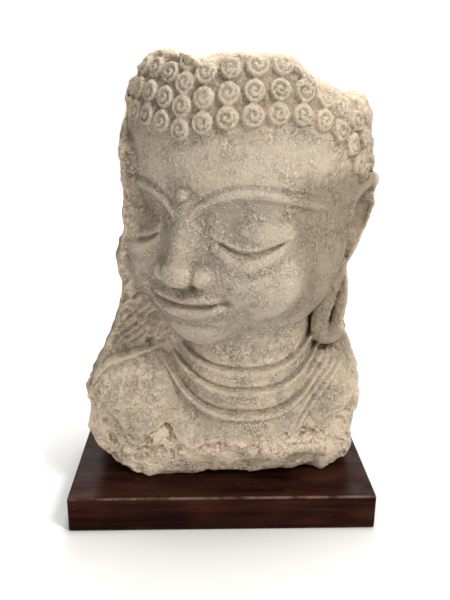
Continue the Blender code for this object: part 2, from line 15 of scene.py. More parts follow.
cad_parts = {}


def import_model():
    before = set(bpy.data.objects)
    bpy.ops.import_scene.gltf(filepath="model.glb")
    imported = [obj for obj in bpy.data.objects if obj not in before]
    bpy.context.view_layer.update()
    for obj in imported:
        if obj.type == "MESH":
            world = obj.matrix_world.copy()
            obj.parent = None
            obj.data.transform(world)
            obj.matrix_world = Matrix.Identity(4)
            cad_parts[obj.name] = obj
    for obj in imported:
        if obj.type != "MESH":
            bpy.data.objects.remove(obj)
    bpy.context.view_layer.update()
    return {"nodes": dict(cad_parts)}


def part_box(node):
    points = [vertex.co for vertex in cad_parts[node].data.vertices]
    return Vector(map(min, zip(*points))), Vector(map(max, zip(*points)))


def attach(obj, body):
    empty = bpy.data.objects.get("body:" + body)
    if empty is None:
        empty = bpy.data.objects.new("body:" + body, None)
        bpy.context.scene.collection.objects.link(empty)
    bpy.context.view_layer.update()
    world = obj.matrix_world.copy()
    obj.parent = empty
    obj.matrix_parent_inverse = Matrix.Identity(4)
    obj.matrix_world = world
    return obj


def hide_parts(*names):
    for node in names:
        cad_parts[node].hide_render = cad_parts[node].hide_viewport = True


# Driving sizes, in metres
PLINTH_DEPTH = 0.250
PLINTH_HEIGHT = 0.048
FLOOR_REACH = 3.0
FLOOR_DROP = 0.0005  # from the plinth's underside down to the floor
STONE_HEIGHT = 0.545
SEAT_GAP = 0.0003  # between the stone's underside and the plinth
CELL = 0.0019  # spacing of the points at which the stone's field is sampled
STONE_FACETS = 194000  # triangles left on the stone
COARSEST = 8  # the first spacing that is sampled, in cells
NEAR_SURFACE = 1.5  # how far from the surface the next spacing is sampled, in the last one's cells
FILL_ROUNDS = 20
FOOT_SNAP = 0.3  # points less than this many cells above the foot's plane are moved onto it
FINGER = STONE_HEIGHT / 25

# Widths of the rounding where one mass runs into another, in fingers
SOFT, ROUND, FIRM, CRISP = 1.3, 0.6, 0.3, 0.15

# The head's place on the stone: below the chin, on the head's own axis, then its turn in degrees
HEAD_PLACE = (0.85, 1.35, 8.6)
HEAD_YAW = -32.0  # towards the proper right shoulder
HEAD_BOW = 3.0
HEAD_ROLL = 1.0
HEAD_BREADTH, EAR_BREADTH = 1.2, 1.13

# Masses of the head as (centre, radii), in the head's fingers: +Z up the face, the nose towards -Y.
# What is off the middle is given for the proper left half and made on both.
CRANIUM = ((0, 2.3, 11.0), (6.25, 8.0, 9.6))
JAW = ((0, -0.3, 5.3), (5.75, 5.3, 5.9))
CHIN = ((0, -3.9, 1.5), (1.6, 1.5, 1.5))
CHEEK = ((2.75, -3.55, 4.7), (2.0, 1.75, 2.1))
MOUTH_MOUND = ((0, -4.45, 3.05), (1.9, 1.25, 1.45))
EYE_HOLLOW = ((2.9, -5.75, 7.75), (2.35, 1.15, 1.35))
EYEBALL = ((2.95, -3.2, 7.2), (1.85, 1.5, 1.42))
EYE_TURN = 23.0
NOSE_TIP = ((0, -6.3, 4.95), (0.8, 0.85, 0.75))
NOSE_WING = ((0.95, -5.65, 4.85), (0.55, 0.8, 0.58))
NOSTRIL = ((0.5, -5.9, 4.15), (0.25, 0.42, 0.35))
NOSE_TURN = 13.0
FACE_FRONT = (-2.2, -0.8)  # the features fade out from the first depth to the second
NOSE_ROOT = ((0, -4.85, 8.4), (0, -5.25, 5.2), 0.8, 1.15)  # ends and end radii
NOSE_BRIDGE = ((0, -5.2, 8.5), (0, -6.35, 5.1), 0.48, 0.62)

# Features drawn over the front of the face, in fingers
BROW_ROOT, BROW_SPAN, BROW_HEIGHT, BROW_RISE = 0.2, 6.2, 7.9, 1.55
BROW_WIDTH, BROW_RELIEF = 0.28, 0.2
BROW_START, BROW_TAIL = 0.8, 0.8  # full from this far out, and thinner from this share of the span
BROW_ARCH = 0.85  # under 1 the arch is highest nearer to the nose
BROW_LINE_RISE, BROW_LINE_WIDTH, BROW_LINE_SHARE = 0.4, 0.12, 0.3  # the fine groove above the ridge
EYE_INNER, EYE_LENGTH, EYE_HEIGHT = 1.4, 3.3, 7.0
UPPER_LID_DROP, LOWER_LID_DROP, LID_RELIEF = 0.62, 1.02, 0.12
EYE_SLANT = 0.12  # how much higher the outer corner is
EYE_INNER_FADE, EYE_OUTER_FADE = (-0.2, 0.2), (1.1, 1.6)  # from the inner corner, and past the eye's length
UPPER_LID_EDGE, UPPER_LID_FADE = (-0.08, 0.08), (0.3, 1.3)  # from the lid's margin upwards
LOWER_LID_EDGE, LOWER_LID_FADE = (-0.1, 0.06), (-1.0, -0.25)
SLIT_DEPTH, SLIT_WIDTH, SLIT_ENDS = 0.12, 0.13, (0.05, 0.2)
MOUTH_HALF, MOUTH_HEIGHT, SMILE = 2.05, 3.05, 0.34
UPPER_LIP, LOWER_LIP, LIP_RELIEF = 0.78, 0.9, 0.33
LIP_END = 0.35  # the lips' share of their height at the corners
LIP_BOW_DEPTH, LIP_BOW_WIDTH = 0.14, 0.35  # the dip in the middle of the upper lip
LIP_CREST, LIP_SPREAD = 0.5, 0.42  # shares of a lip's height
UPPER_FULLNESS, LOWER_FULLNESS = 0.9, 1.1
PARTING_DEPTH, PARTING_WIDTH = 0.6, 0.13
MOUTH_FADE = (-0.5, 0.15)
MOUTH_CORNER = (0.25, 0.3, 0.25)  # depth, breadth and height
LIP_GROOVE_HEIGHT, LIP_GROOVE_REACH = 3.9, 0.3  # the dip between the upper lip and the nose
LIP_GROOVE_DEPTH, LIP_GROOVE_WIDTH = 0.12, 0.28
CHIN_CREASE_HEIGHT, CHIN_CREASE_DEPTH, CHIN_CREASE_WIDTH = 1.9, 0.16, 0.28
CHIN_CREASE_REACH, CHIN_CREASE_SAG = 1.2, 0.1
MARK_HEIGHT, MARK_RADIUS, MARK_RELIEF = 9.25, 0.36, 0.24

# The proper left ear, as points along its strands with a radius for each
EAR_BOX = ((6, 2, 4.6), (3, 3.2, 6.6))  # middle and half sizes of the box that holds the ear
EAR_BACKING = ((5.8, 3.3, 8.4), (5.0, 2.6, 0.0), 1.2, 1.0)
EAR_HOLLOW = ((6.75, 1.9, 7.7), (0.75, 0.75, 1.5))
EAR_TURN = -30.0
TRAGUS = ((5.65, 0.9, 5.6), (0.45, 0.4, 0.7))
JAW_GAP = ((5.35, 0.3, 3.6), (4.5, 0.3, 0.8), 0.22, 0.26)
EAR_RIM = (
    (6.0, 1.3, 7.5, 0.30),
    (6.15, 1.4, 8.4, 0.32),
    (6.55, 1.9, 9.2, 0.34),
    (6.95, 2.6, 9.6, 0.36),
    (7.15, 3.0, 9.0, 0.36),
    (7.1, 3.0, 8.2, 0.36),
    (6.85, 2.7, 6.8, 0.36),
    (6.55, 2.3, 5.3, 0.38),
    (6.35, 2.0, 4.2, 0.42),
)
EAR_FOLD = ((6.0, 1.5, 8.2, 0.2), (5.95, 1.6, 7.0, 0.26), (6.15, 1.9, 6.0, 0.3), (6.3, 2.0, 4.6, 0.34))
EAR_LOBE = (
    (5.85, 1.3, 4.6, 0.40),
    (5.42, 1.0, 2.8, 0.44),
    (5.05, 0.8, 1.2, 0.48),
    (5.05, 0.85, 0.0, 0.49),
    (5.5, 1.15, -0.15, 0.49),
    (5.88, 1.45, 0.7, 0.54),
    (6.05, 1.65, 2.2, 0.52),
    (6.25, 2.0, 4.2, 0.46),
)

# The first row's curls, as (arc along the scalp, height), from mid-forehead down the temple and over the ear
HAIRLINE = (
    (0.0, 12.7), (0.9, 12.95), (2.1, 13.25), (3.5, 13.4), (5.0, 13.5), (6.6, 13.4), (8.2, 12.9),
    (9.4, 12.0), (10.1, 10.9), (10.7, 9.9), (11.6, 10.3), (12.8, 10.5), (14.2, 10.3), (16.0, 9.6),
)
SCALP_AXIS = 1.0  # Y of the upright axis that the arcs turn about
SCALP_REACH = 6.6  # radius at which an arc is as long as it says
SCALP_SEARCH = (2, 9, 351)  # radii between which the scalp is looked for, and how many are tried
SCALP_FOOT = 8.5  # no curl reaches down to here
HAIRLINE_STEPS = 120
NUDGE = 0.05  # the step over which a slope is measured
CURL_RADIUS, CURL_HEIGHT, CURL_GROOVE, CURL_TURNS = 0.58, 0.34, 0.1, 1.3
CURL_SIZE, CURL_SIZE_RANGE = 0.95, 0.08  # the smallest curl's share of the radius, and the spread
CURL_DEPTH, CURL_DEPTH_RANGE = 0.55, 0.45  # the same for the groove
CURL_RIM = (0.62, 0.85)  # shares of the radius between which the groove ends
CURL_SPAN, CURL_SCATTER = 0.8, 0.35  # share of the radius that the turns fill, and turns of scatter
CURL_ROUNDING = 4  # higher for a boss with steeper sides
CURL_SLOPE, CURL_EASING = 0.8, 0.6  # turn the boss's shape into a distance
CURL_BOX, SCALP_BAND = 1.6, 2  # half a curl's box, and how near the skull it is, in radii
CURL_SPACING = 1.3
CURL_CROWDING = 1.04  # closer than this to another, a curl is left out
ROW_SPACING = 1.16
ROWS = 7

# Neck and chest, in the stone's fingers from the middle of its foot
NECK_AXIS = (1.4, 0.9)
NECK_REACH = 3.9  # from the axis to the front, above the folds
NECK_FOLDS = ((6.5, 0.35), (5.3, 0.35), (3.95, 0.4))  # height, and how far the neck steps out there
NECK_TOP = 13.0
NECK_TILT = 0.12  # how much the folds fall towards the front
NECK_FOLD_EDGE = (-0.14, 0.08)
NECK_LIP = (0.05, -0.2, 0.15)  # relief, height above the fold's edge, and width
NECK_CREASE = (0.1, 0.1, 0.07)
COLLAR_RELIEF, COLLAR_RISE, COLLAR_WIDTH = 0.14, -0.28, 0.13
NECK_BREADTH, NECK_SAG = 1.1, 2.0  # how oval the neck is, and how far the folds hang in the middle
CHEST = ((0.4, 3.6, 1.0), (12.0, 8.1, 6.3))
LEFT_SHOULDER = ((6.6, 1.6, 4.6), (4.0, 4.4, 3.4))
RIGHT_SHOULDER = ((-5.8, 2.4, 4.2), (6.0, 5.4, 5.0))
LEDGE_HEIGHT, LEDGE_SLOPE = 9.15, 0.27  # top of the proper right shoulder, falling outwards
LEDGE_END, LEDGE_DROP = -6.5, 0.5  # from where it curves down, and how fast
LEDGE_RIM, LEDGE_RIM_DROP, LEDGE_RIM_WIDTH = 0.2, 0.2, 0.16
ROBE_FOLD = ((6.3, 7.4), (5.3, 6.3), (4.4, 5.05), (3.5, 3.65), (3.05, 2.6))  # (x, z) down from the shoulder
ROBE_FOLDS, ROBE_FOLD_POINTS = 4, 12
ROBE_SIDE, ROBE_BACK, ROBE_MIDDLE, ROBE_REACH = 1.5, 1, 5.2, 3.8  # where folds are looked for
ROBE_FOLD_STEP = (0.34, -0.17)
ROBE_FOLD_WIDTH, ROBE_FOLD_RELIEF = 0.14, 0.2
ROBE_FOLD_FADE = (2.7, 4.2)  # the heights between which the folds fade out downwards

# The block that the figure was broken from, in the stone's fingers
BLOCK_BACK = 4.6
BLOCK_FRONT = -1.2  # beside the proper right cheek
BLOCK_STEP_BACK = 3.4  # further back beside the ear and the hair
BLOCK_STEP_X, BLOCK_STEP_Z = (-2, 5), (19.5, 22)  # where it steps back, across and up
FOOT_EDGE, FOOT_SLOPE = -3.25, 0.42  # the foot's front edge, and the undercut below the chest
FOOT_CHIP = 0.6  # how deep the foot's edge is chipped near its right corner
FOOT_CHIP_START, FOOT_CHIP_END, FOOT_CHIP_TOP = (3.8, 5.8), (6.4, 8.2), (1.0, 3.0)
SIDE_ROUGHNESS, BACK_ROUGHNESS, BLOCK_ROUGHNESS = (0.25, 2.2), (0.35, 3.4), (0.3, 1.9)  # height and cell
SIDE_SEED, BACK_SEED, BLOCK_SEED = 3, 7, 11
# (x, z) of the broken outline, seen from the front
OUTLINE = (
    (-4.6, 0.0), (-6.6, 0.5), (-7.8, 1.4), (-8.3, 2.8), (-8.05, 4.1), (-8.5, 5.2),
    (-7.7, 6.7), (-6.9, 8.4), (-6.2, 10.0), (-6.0, 11.9), (-6.3, 13.3), (-5.9, 15.2),
    (-6.0, 20.2), (-5.6, 22.8), (-4.9, 24.2), (-3.6, 25.0), (-2.6, 24.9), (-1.4, 24.3),
    (0.2, 24.7), (3.4, 24.75), (4.4, 24.1), (6.0, 23.2), (7.2, 22.7), (8.2, 22.8),
    (8.95, 21.9), (9.05, 16.6), (8.2, 14.2), (7.6, 13.0), (7.7, 11.4), (7.5, 9.4),
    (8.45, 7.8), (8.4, 6.0), (8.4, 3.2), (8.45, 1.3), (7.9, 0.4), (6.2, 0.0),
)
FLAKE_LEVEL, FLAKE_DEPTH, FLAKE_TREADS = 2.7, 0.36, 5  # where the chest's skin has flaked off, and how deep
FLAKE_RISE, FLAKE_SPREAD = (-5.0, 5.4), (0.35, 0.28)  # where its edge starts to rise, and how fast
FLAKE_CLIFF = (-0.06, 0.06)
FLAKE_TOP, FLAKE_BACK = (7.5, 8.5), (0.5, 2)  # heights and depths where it fades out
FLAKE_EDGE, FLAKE_PLATES = (0.9, 1.7, 41, 4), (0.9, 1.5, 51, 4)  # height, cell, seed and octaves
SPALLS, SPALL_RELIEF, SPALL_TREADS = (1, 0.9, 57), 0.05, 3  # the shallow loss of what skin is left
TREAD_FLAT = 0.72  # share of a tread that is level

# Fine roughness as (height, cell, seed, octaves)
BREAK_GRAIN = (0.12, 0.9, 71, 4)
SKIN_GRAIN = (0.035, 0.5, 91, 3)  # of the weathered neck, chest and ear
HEWN_GRAIN = (0.07, 0.3, 63, 2)
EAR_SIDE = (5.5, 6.5)  # how far out the head's skin gets rough
TOOTH_RELIEF, TOOTH_WIDTH, TOOTH_LENGTH = 0.17, 0.2, 0.7  # furrows of the chisel beside the jaw
TOOTH_SLANT, TOOTH_SEED = 38, 61
TOOTH_TOP, TOOTH_SIDE = (14, 17), (-2, 0)  # heights and places across where they end
HEWN_FADE, BREAK_FADE, BACK_FADE = (-0.1, 0.5), (-0.35, 0.05), (3, 5)  # where one surface turns into another
TOP_WEAR = 0.9  # extra rounding of the broken edge on the top's proper left
WORN_X, WORN_Z = (2.5, 5), (19, 21.5)  # where that starts
FIELD_BOX = ((-10.2, -9.5, -1.0), (10.6, 6.5, 26.5))  # the box that is sampled

# Where the head is darker beside the ear and where it is handled, as the places in its own fingers between
# which that fades
EAR_BAND_SIDE, EAR_BAND_FRONT, EAR_BAND_TOP, EAR_BAND_FOOT = (3.9, 5.0), (-4.2, -2.6), (9.5, 11), (-1.6, -0.6)
EAR_BAND_SMOOTHING = 0.8  # how much of the break's roughness is smoothed over where the side by the ear is darker
HANDLED_BACK, HANDLED_TOP, HANDLED_FOOT = (-2.5, -0.5), (12, 12.8), (-0.5, 0.5)
HANDLED_BROW, HANDLED_BROW_LOSS = (8.5, 10.5), 0.6

# Hollows, as the rounds of smoothing that they are measured against and the depth in metres that counts as 1.
# They place the painted shade in hollows and the painted highlight on ridges
FINE_ROUNDS, FINE_DEPTH = 6, 0.0004
WIDE_ROUNDS, WIDE_DEPTH = 60, 0.002

# Colours of the stone
BEIGE, TAN = (0.46, 0.378, 0.28), (0.505, 0.408, 0.305)
RUBBED_GREY, HANDLED_GREY = (0.355, 0.305, 0.24), (0.35, 0.30, 0.24)
# the first colour is the rough block's browner tone, darkened further as painted shade of the head's shadow
# the second colour darkens the side of the head by the ear
HEWN_BROWN_AND_SHADE, EAR_SIDE_BROWN = (0.335, 0.265, 0.19), (0.275, 0.218, 0.158)
OCHRE, ROSY_OCHRE = (0.68, 0.56, 0.41), (0.69, 0.535, 0.41)
DARK_GRAIN, LIGHT_GRAIN = (0.17, 0.135, 0.09), (0.80, 0.71, 0.57)
VEIN_BROWN, RIM_BROWN = (0.15, 0.115, 0.078), (0.19, 0.145, 0.1)
# painted highlight on ridges and raised edges
RIDGE_HIGHLIGHT_CREAM = (0.74, 0.63, 0.49)
# painted shade laid into fine and wide hollows
HOLLOW_SHADE_BROWN, WIDE_HOLLOW_SHADE_BROWN = (0.15, 0.115, 0.075), (0.24, 0.19, 0.135)

# Sizes of the stone's patches and grain, in metres
PATCH, CLOUD, OCHRE_PATCH, GRIT_PATCH = 0.040, 0.11, 0.028, 0.026
GRAIN, PALE_GRAIN, VEIN, VEIN_PATCH = 0.0030, 0.0032, 0.0075, 0.03
PIT, LUMP, BUMP_DEPTH = 0.0044, 0.009, 0.0024
STONE_GLOSS = 0.25

# The wood: its colours, then the sizes of its figure, wear and painted edge highlight, in metres
WOOD_DARK, WOOD_RED, WOOD_BROWN = (0.009, 0.003, 0.0026), (0.036, 0.010, 0.006), (0.09, 0.032, 0.016)
# the second colour is a painted highlight along the top's front and back edges
WOOD_PORE, WOOD_EDGE_HIGHLIGHT, WOOD_SCRATCH = (0.006, 0.003, 0.003), (0.22, 0.15, 0.12), (0.10, 0.06, 0.045)
FIGURE, PORE, BROAD_FIGURE, EDGE_HIGHLIGHT_PATCH, SCRATCH, SHEEN = 0.010, 0.0016, 0.09, 0.03, 0.02, 0.04
EDGE_INSET, EDGE_WIDTH, EDGE_CORE = 0.0008, 0.0022, 0.0008
WOOD_BUMP = 0.0006
WOOD_GLOSS, WOOD_TINT = 0.05, (0.8, 0.34, 0.24, 1.0)

# The photograph's camera, in metres, with its directions and its lens in millimetres
CAMERA_EYE = (-0.0228, -0.8687, 0.5489)
CAMERA_RIGHT, CAMERA_UP = (0.9995, -0.0293, 0.0078), (0.0013, 0.3001, 0.9539)
CAMERA_FORWARD = (0.0303, 0.9535, -0.3000)
CAMERA_LENS = 40.1
CAMERA_NEAR = 0.01

# Each lamp's name, place, target, size in metres, power in watts and colour
LAMPS = (
    ("key", (0.8, -0.95, 1.65), (0, 0, 0.3), 0.45, 20, (1.0, 0.97, 0.925)),
    ("fill", (0.3, -1.7, 0.45), (0, 0, 0.15), 1.0, 5, (1.0, 0.975, 0.94)),
    ("top", (0.1, 0.1, 1.75), (0, 0, 0.4), 0.5, 13, (1.0, 0.975, 0.94)),
    ("floor_wash", (0, 2.3, 1.6), (0, 2.6, 0), 2.2, 75, (1, 1, 1)),
)
SKY, SKY_STRENGTH = (1.0, 0.99, 0.975, 1.0), 0.43
FLOOR_TONES, FLOOR_PATCH = ((0.86, 0.86, 0.86), (0.90, 0.90, 0.895)), 0.6


# Field arithmetic: a field is an array of distances, one for each point


def vector(*values):
    return np.array(values, float)


def joined(a, b, blend):
    """Union with a fillet about as wide as blend."""
    h = np.clip(0.5 + 0.5 * (b - a) / blend, 0, 1)
    return b + (a - b) * h - blend * h * (1 - h)


def kept_in(a, b, blend):
    """Intersection with a worn edge about as wide as blend."""
    return -joined(-a, -b, blend)


def cut_by(a, tool, blend):
    return kept_in(a, -tool, blend)


def step(x, low, high):
    """Smooth rise from 0 at low to 1 at high."""
    t = np.clip((x - low) / (high - low), 0, 1)
    return t * t * (3 - 2 * t)


def rise(x, start, fade):
    """Smooth rise from 0 to 1 over fade, a pair of places counted from start."""
    return step(x, start + fade[0], start + fade[1])


def hump(x, width):
    return np.exp(-((x / width) ** 2))


def ellipsoid(q, centre, radii, turn=0.0):
    """turn is about Z, in degrees."""
    d = q - vector(*centre)
    if turn:
        c, s = math.cos(math.radians(turn)), math.sin(math.radians(turn))
        d = np.stack([d[:, 0] * c + d[:, 1] * s, d[:, 1] * c - d[:, 0] * s, d[:, 2]], 1)
    scaled = np.sqrt(((d / vector(*radii)) ** 2).sum(1))
    slope = np.sqrt(((d / vector(*radii) ** 2) ** 2).sum(1)) + 1e-9
    return scaled * (scaled - 1) / slope


def tapered_rod(q, start, end, start_radius, end_radius):
    a, b = vector(*start), vector(*end)
    along = np.clip((q - a) @ (b - a) / ((b - a) @ (b - a)), 0, 1)
    nearest = a + along[:, None] * (b - a)
    return np.sqrt(((q - nearest) ** 2).sum(1)) - (start_radius + (end_radius - start_radius) * along)


def smooth_curve(points, count):
    """Catmull-Rom curve through the points, as count rows."""
    pts = np.array(points, float)
    ends = np.vstack([2 * pts[0] - pts[1], pts, 2 * pts[-1] - pts[-2]])
    u = np.linspace(0, len(pts) - 1, count)
    i = np.minimum(u.astype(int), len(pts) - 2)
    t = (u - i)[:, None]
    a, b, c, d = (ends[i + k] for k in range(4))
    return 0.5 * (2 * b + (c - a) * t + (2 * a - 5 * b + 4 * c - d) * t**2 + (3 * b - a - 3 * c + d) * t**3)


def strand(q, rows, steps_per_point=3):
    """A smooth tube through rows of (x, y, z, radius)."""
    line = smooth_curve(rows, steps_per_point * len(rows))
    made = np.full(len(q), 1e3)
    for start, end in zip(line[:-1], line[1:]):
        made = np.minimum(made, tapered_rod(q, start[:3], end[:3], start[3], end[3]))
    return made


def distance_to_line(x, z, line):
    near = np.full(len(x), 1e3)
    for a, b in zip(line[:-1], line[1:]):
        e = b - a
        along = np.clip(((x - a[0]) * e[0] + (z - a[1]) * e[1]) / (e @ e), 0, 1)
        near = np.minimum(near, np.hypot(x - a[0] - along * e[0], z - a[1] - along * e[1]))
    return near


def noise(q, height, cell, seed):
    """Smooth noise up to height, from one random value for each corner of a lattice."""
    base = np.floor(q / cell).astype(np.int64)
    t = q / cell - base
    t = t * t * (3 - 2 * t)
    total = np.zeros(len(q))
    for corner in range(8):
        offset = np.array([corner & 1, corner >> 1 & 1, corner >> 2 & 1])
        n = base + offset
        mixed = (n[:, 0] * 73856093) ^ (n[:, 1] * 19349663) ^ (n[:, 2] * 83492791) ^ (seed * 2654435761)
        mixed = (mixed ^ (mixed >> 13)) * 1274126177 & 0xFFFFFFFF
        mixed = (mixed ^ (mixed >> 16)) & 0xFFFF
        total += np.where(offset, t, 1 - t).prod(1) * (mixed / 32767.5 - 1)
    return height * total


# The head


def head_turn():
    """Rotation matrix from head to stone."""
    a, b, c = (math.radians(v) for v in (HEAD_YAW, HEAD_BOW, HEAD_ROLL))
    yaw = np.array([[math.cos(a), -math.sin(a), 0], [math.sin(a), math.cos(a), 0], [0, 0, 1]])
    bow = np.array([[1, 0, 0], [0, math.cos(b), -math.sin(b)], [0, math.sin(b), math.cos(b)]])
    roll = np.array([[math.cos(c), 0, math.sin(c)], [0, 1, 0], [-math.sin(c), 0, math.cos(c)]])
    return yaw @ roll @ bow


def skull(q):
    q = q / vector(HEAD_BREADTH, 1, 1)
    return joined(joined(ellipsoid(q, *CRANIUM), ellipsoid(q, *JAW), SOFT), ellipsoid(q, *CHIN), SOFT)


def face_masses(f, h):
    f = joined(f, ellipsoid(h, *CHEEK), SOFT)
    f = joined(f, ellipsoid(h, *MOUTH_MOUND), SOFT)
    f = cut_by(f, ellipsoid(h, *EYE_HOLLOW, EYE_TURN), ROUND)
    f = joined(f, ellipsoid(h, *EYEBALL, EYE_TURN), CRISP)
    f = joined(f, tapered_rod(h, *NOSE_ROOT), ROUND)
    lobes = joined(tapered_rod(h, *NOSE_BRIDGE), ellipsoid(h, *NOSE_TIP), FIRM)
    lobes = joined(lobes, ellipsoid(h, *NOSE_WING, NOSE_TURN), CRISP)
    f = joined(f, lobes, FIRM)
    return cut_by(f, ellipsoid(h, *NOSTRIL, NOSE_TURN), CRISP)


def brows(x, z):
    """An arched ridge from the nose's root out to the temple, with a fine groove above it."""
    arch = np.sin(np.pi * np.clip((x - BROW_ROOT) / BROW_SPAN, 0, 1) ** BROW_ARCH)
    above = z - (BROW_HEIGHT + BROW_RISE * arch)
    within = step(x, BROW_ROOT, BROW_START) * (1 - step(x, BROW_TAIL * BROW_SPAN, BROW_SPAN))
    line = BROW_LINE_SHARE * hump(above - BROW_LINE_RISE, BROW_LINE_WIDTH)
    return BROW_RELIEF * within * (hump(above, BROW_WIDTH) - line)


def eyelids(x, z):
    """Both lids stand off the ball, with the slit of the half-closed eye sunk between them."""
    t = np.clip((x - EYE_INNER) / EYE_LENGTH, 0, 1)
    droop = np.sin(np.pi * t)
    corner = EYE_HEIGHT + EYE_SLANT * t
    upper = corner - UPPER_LID_DROP * droop
    lower = corner - LOWER_LID_DROP * droop
    within = rise(x, EYE_INNER, EYE_INNER_FADE) * (1 - rise(x, EYE_LENGTH, EYE_OUTER_FADE))
    relief = LID_RELIEF * rise(z, upper, UPPER_LID_EDGE) * (1 - rise(z, upper, UPPER_LID_FADE))
    relief += LID_RELIEF * (1 - rise(z, lower, LOWER_LID_EDGE)) * rise(z, lower, LOWER_LID_FADE)
    relief -= SLIT_DEPTH * hump(z - (upper + lower) / 2, SLIT_WIDTH) * step(upper - lower, *SLIT_ENDS)
    return relief * within


def lips(x, z):
    u = np.clip(x / MOUTH_HALF, 0, 1)
    middle = MOUTH_HEIGHT + SMILE * u**2
    full = LIP_END + (1 - LIP_END) * np.sqrt(1 - u**2)
    up = (z - middle) / (UPPER_LIP * full - LIP_BOW_DEPTH * hump(x, LIP_BOW_WIDTH))
    down = (middle - z) / (LOWER_LIP * full)
    relief = UPPER_FULLNESS * hump(up - LIP_CREST, LIP_SPREAD)
    relief = relief + LOWER_FULLNESS * hump(down - LIP_CREST, LIP_SPREAD)
    relief = LIP_RELIEF * (relief - PARTING_DEPTH * hump(z - middle, PARTING_WIDTH))
    relief *= 1 - rise(x, MOUTH_HALF, MOUTH_FADE)
    depth, breadth, height = MOUTH_CORNER
    corner = depth * hump(x - MOUTH_HALF, breadth) * hump(z - MOUTH_HEIGHT - SMILE, height)
    lip_groove = LIP_GROOVE_DEPTH * hump(x, LIP_GROOVE_WIDTH) * hump(z - LIP_GROOVE_HEIGHT, LIP_GROOVE_REACH)
    crease = CHIN_CREASE_DEPTH * hump(z - CHIN_CREASE_HEIGHT + CHIN_CREASE_SAG * x**2, CHIN_CREASE_WIDTH)
    return relief - corner - lip_groove - crease * hump(x, CHIN_CREASE_REACH)


def forehead_mark(x, z):
    return MARK_RELIEF * np.sqrt(np.clip(1 - (np.hypot(x, z - MARK_HEIGHT) / MARK_RADIUS) ** 2, 0, 1))


def add_ear(f, q):
    """Rim, hollow, inner fold and a long pierced lobe, on the proper left only."""
    middle, half = (vector(*values) for values in EAR_BOX)
    near = np.nonzero((np.abs(q - middle) < half).all(1))[0]
    if not len(near):
        return f
    ear, e = f[near], q[near]
    ear = joined(ear, tapered_rod(e, *EAR_BACKING), ROUND)
    ear = cut_by(ear, ellipsoid(e, *EAR_HOLLOW, EAR_TURN), CRISP)
    ear = cut_by(ear, tapered_rod(e, *JAW_GAP), FIRM)
    ear = joined(ear, strand(e, EAR_RIM), CRISP)
    ear = joined(ear, strand(e, EAR_FOLD), FIRM)
    ear = joined(ear, ellipsoid(e, *TRAGUS), FIRM)
    ear = joined(ear, strand(e, EAR_LOBE), CRISP)
    f[near] = ear
    return f


# The hair


def scalp_point(arc, height):
    """Where the scalp is, out from its axis at this arc and height."""
    angle = arc / SCALP_REACH
    out = vector(math.sin(angle), -math.cos(angle), 0)
    reach = np.linspace(*SCALP_SEARCH)
    points = vector(0, SCALP_AXIS, height) + reach[:, None] * out
    inside = np.nonzero(skull(points) < 0)[0]
    return points[inside.max()] if len(inside) else None


def row_of_curls(row, side):
    """Where the row's curls are on one half of the scalp, at even distances from its middle."""
    line = smooth_curve(HAIRLINE, HAIRLINE_STEPS)
    run = np.gradient(line, axis=0)
    run /= np.linalg.norm(run, axis=1)[:, None]
    line = line + row * ROW_SPACING * np.stack([-run[:, 1], run[:, 0]], 1)
    line[0, 0] = 0.0
    found = [scalp_point(side * arc, height) for arc, height in line if arc >= 0]
    points = np.array([point for point in found if point is not None])
    if len(points) < 2:
        return []
    lengths = np.concatenate([[0], np.cumsum(np.linalg.norm(np.diff(points, axis=0), axis=1))])
    at = np.arange(0 if side > 0 else CURL_SPACING, lengths[-1], CURL_SPACING)
    return [np.array([np.interp(s, lengths, points[:, i]) for i in range(3)]) for s in at]


def outward(point):
    """Unit normal of the skull."""
    offsets = NUDGE * np.eye(3)
    slope = skull(point + offsets) - skull(point - offsets)
    return slope / np.linalg.norm(slope)


@functools.lru_cache(maxsize=None)
def curls():
    """(centre, outward direction, side of the head) of every curl."""
    made = []
    for row in range(ROWS):
        for side in (1, -1):
            for centre in row_of_curls(row, side):
                if all(np.linalg.norm(centre - other[0]) > CURL_CROWDING for other in made):
                    made.append((centre, outward(centre), side))
    return made


def chance(number):
    """A value from 0 to 1 that is scattered from curl to curl but always the same for one."""
    return math.sin(12.9898 * number + 4.1) * 43758.5453 % 1


def curl(d, out, side, luck):
    """One curl's field, at points d from its centre: a low round boss with a spiral groove inside its rim."""
    radius = CURL_RADIUS * (CURL_SIZE + CURL_SIZE_RANGE * luck)
    high = d @ out
    r = np.sqrt(np.maximum((d**2).sum(1) - high**2, 0))
    up = vector(0, 0, 1) - out[2] * out
    up /= np.linalg.norm(up)
    turn = np.arctan2(d @ up, side * (d @ np.cross(up, out))) / (2 * np.pi)
    turns = r * CURL_TURNS / (CURL_SPAN * radius) - turn + CURL_SCATTER * luck
    spiral = 0.5 - 0.5 * np.cos(2 * np.pi * turns)
    across, along = (r / radius) ** CURL_ROUNDING, np.abs(high / CURL_HEIGHT) ** CURL_ROUNDING
    boss = ((across + along) ** (1 / CURL_ROUNDING) - 1) * CURL_SLOPE * CURL_HEIGHT
    depth = CURL_GROOVE * (CURL_DEPTH + CURL_DEPTH_RANGE * (7 * luck % 1))
    boss += depth * spiral * (1 - step(r, CURL_RIM[0] * radius, CURL_RIM[1] * radius))
    return CURL_EASING * boss


def add_curls(f, q):
    scalp = np.nonzero((np.abs(f) < SCALP_BAND * CURL_RADIUS) & (q[:, 2] > SCALP_FOOT))[0]
    points, values = q[scalp], f[scalp]
    for number, (centre, out, side) in enumerate(curls()):
        near = np.nonzero((np.abs(points - centre) < CURL_BOX * CURL_RADIUS).all(1))[0]
        if len(near):
            made = curl(points[near] - centre, out, side, chance(number))
            values[near] = joined(values[near], made, CRISP / 2)
    f[scalp] = values
    return f


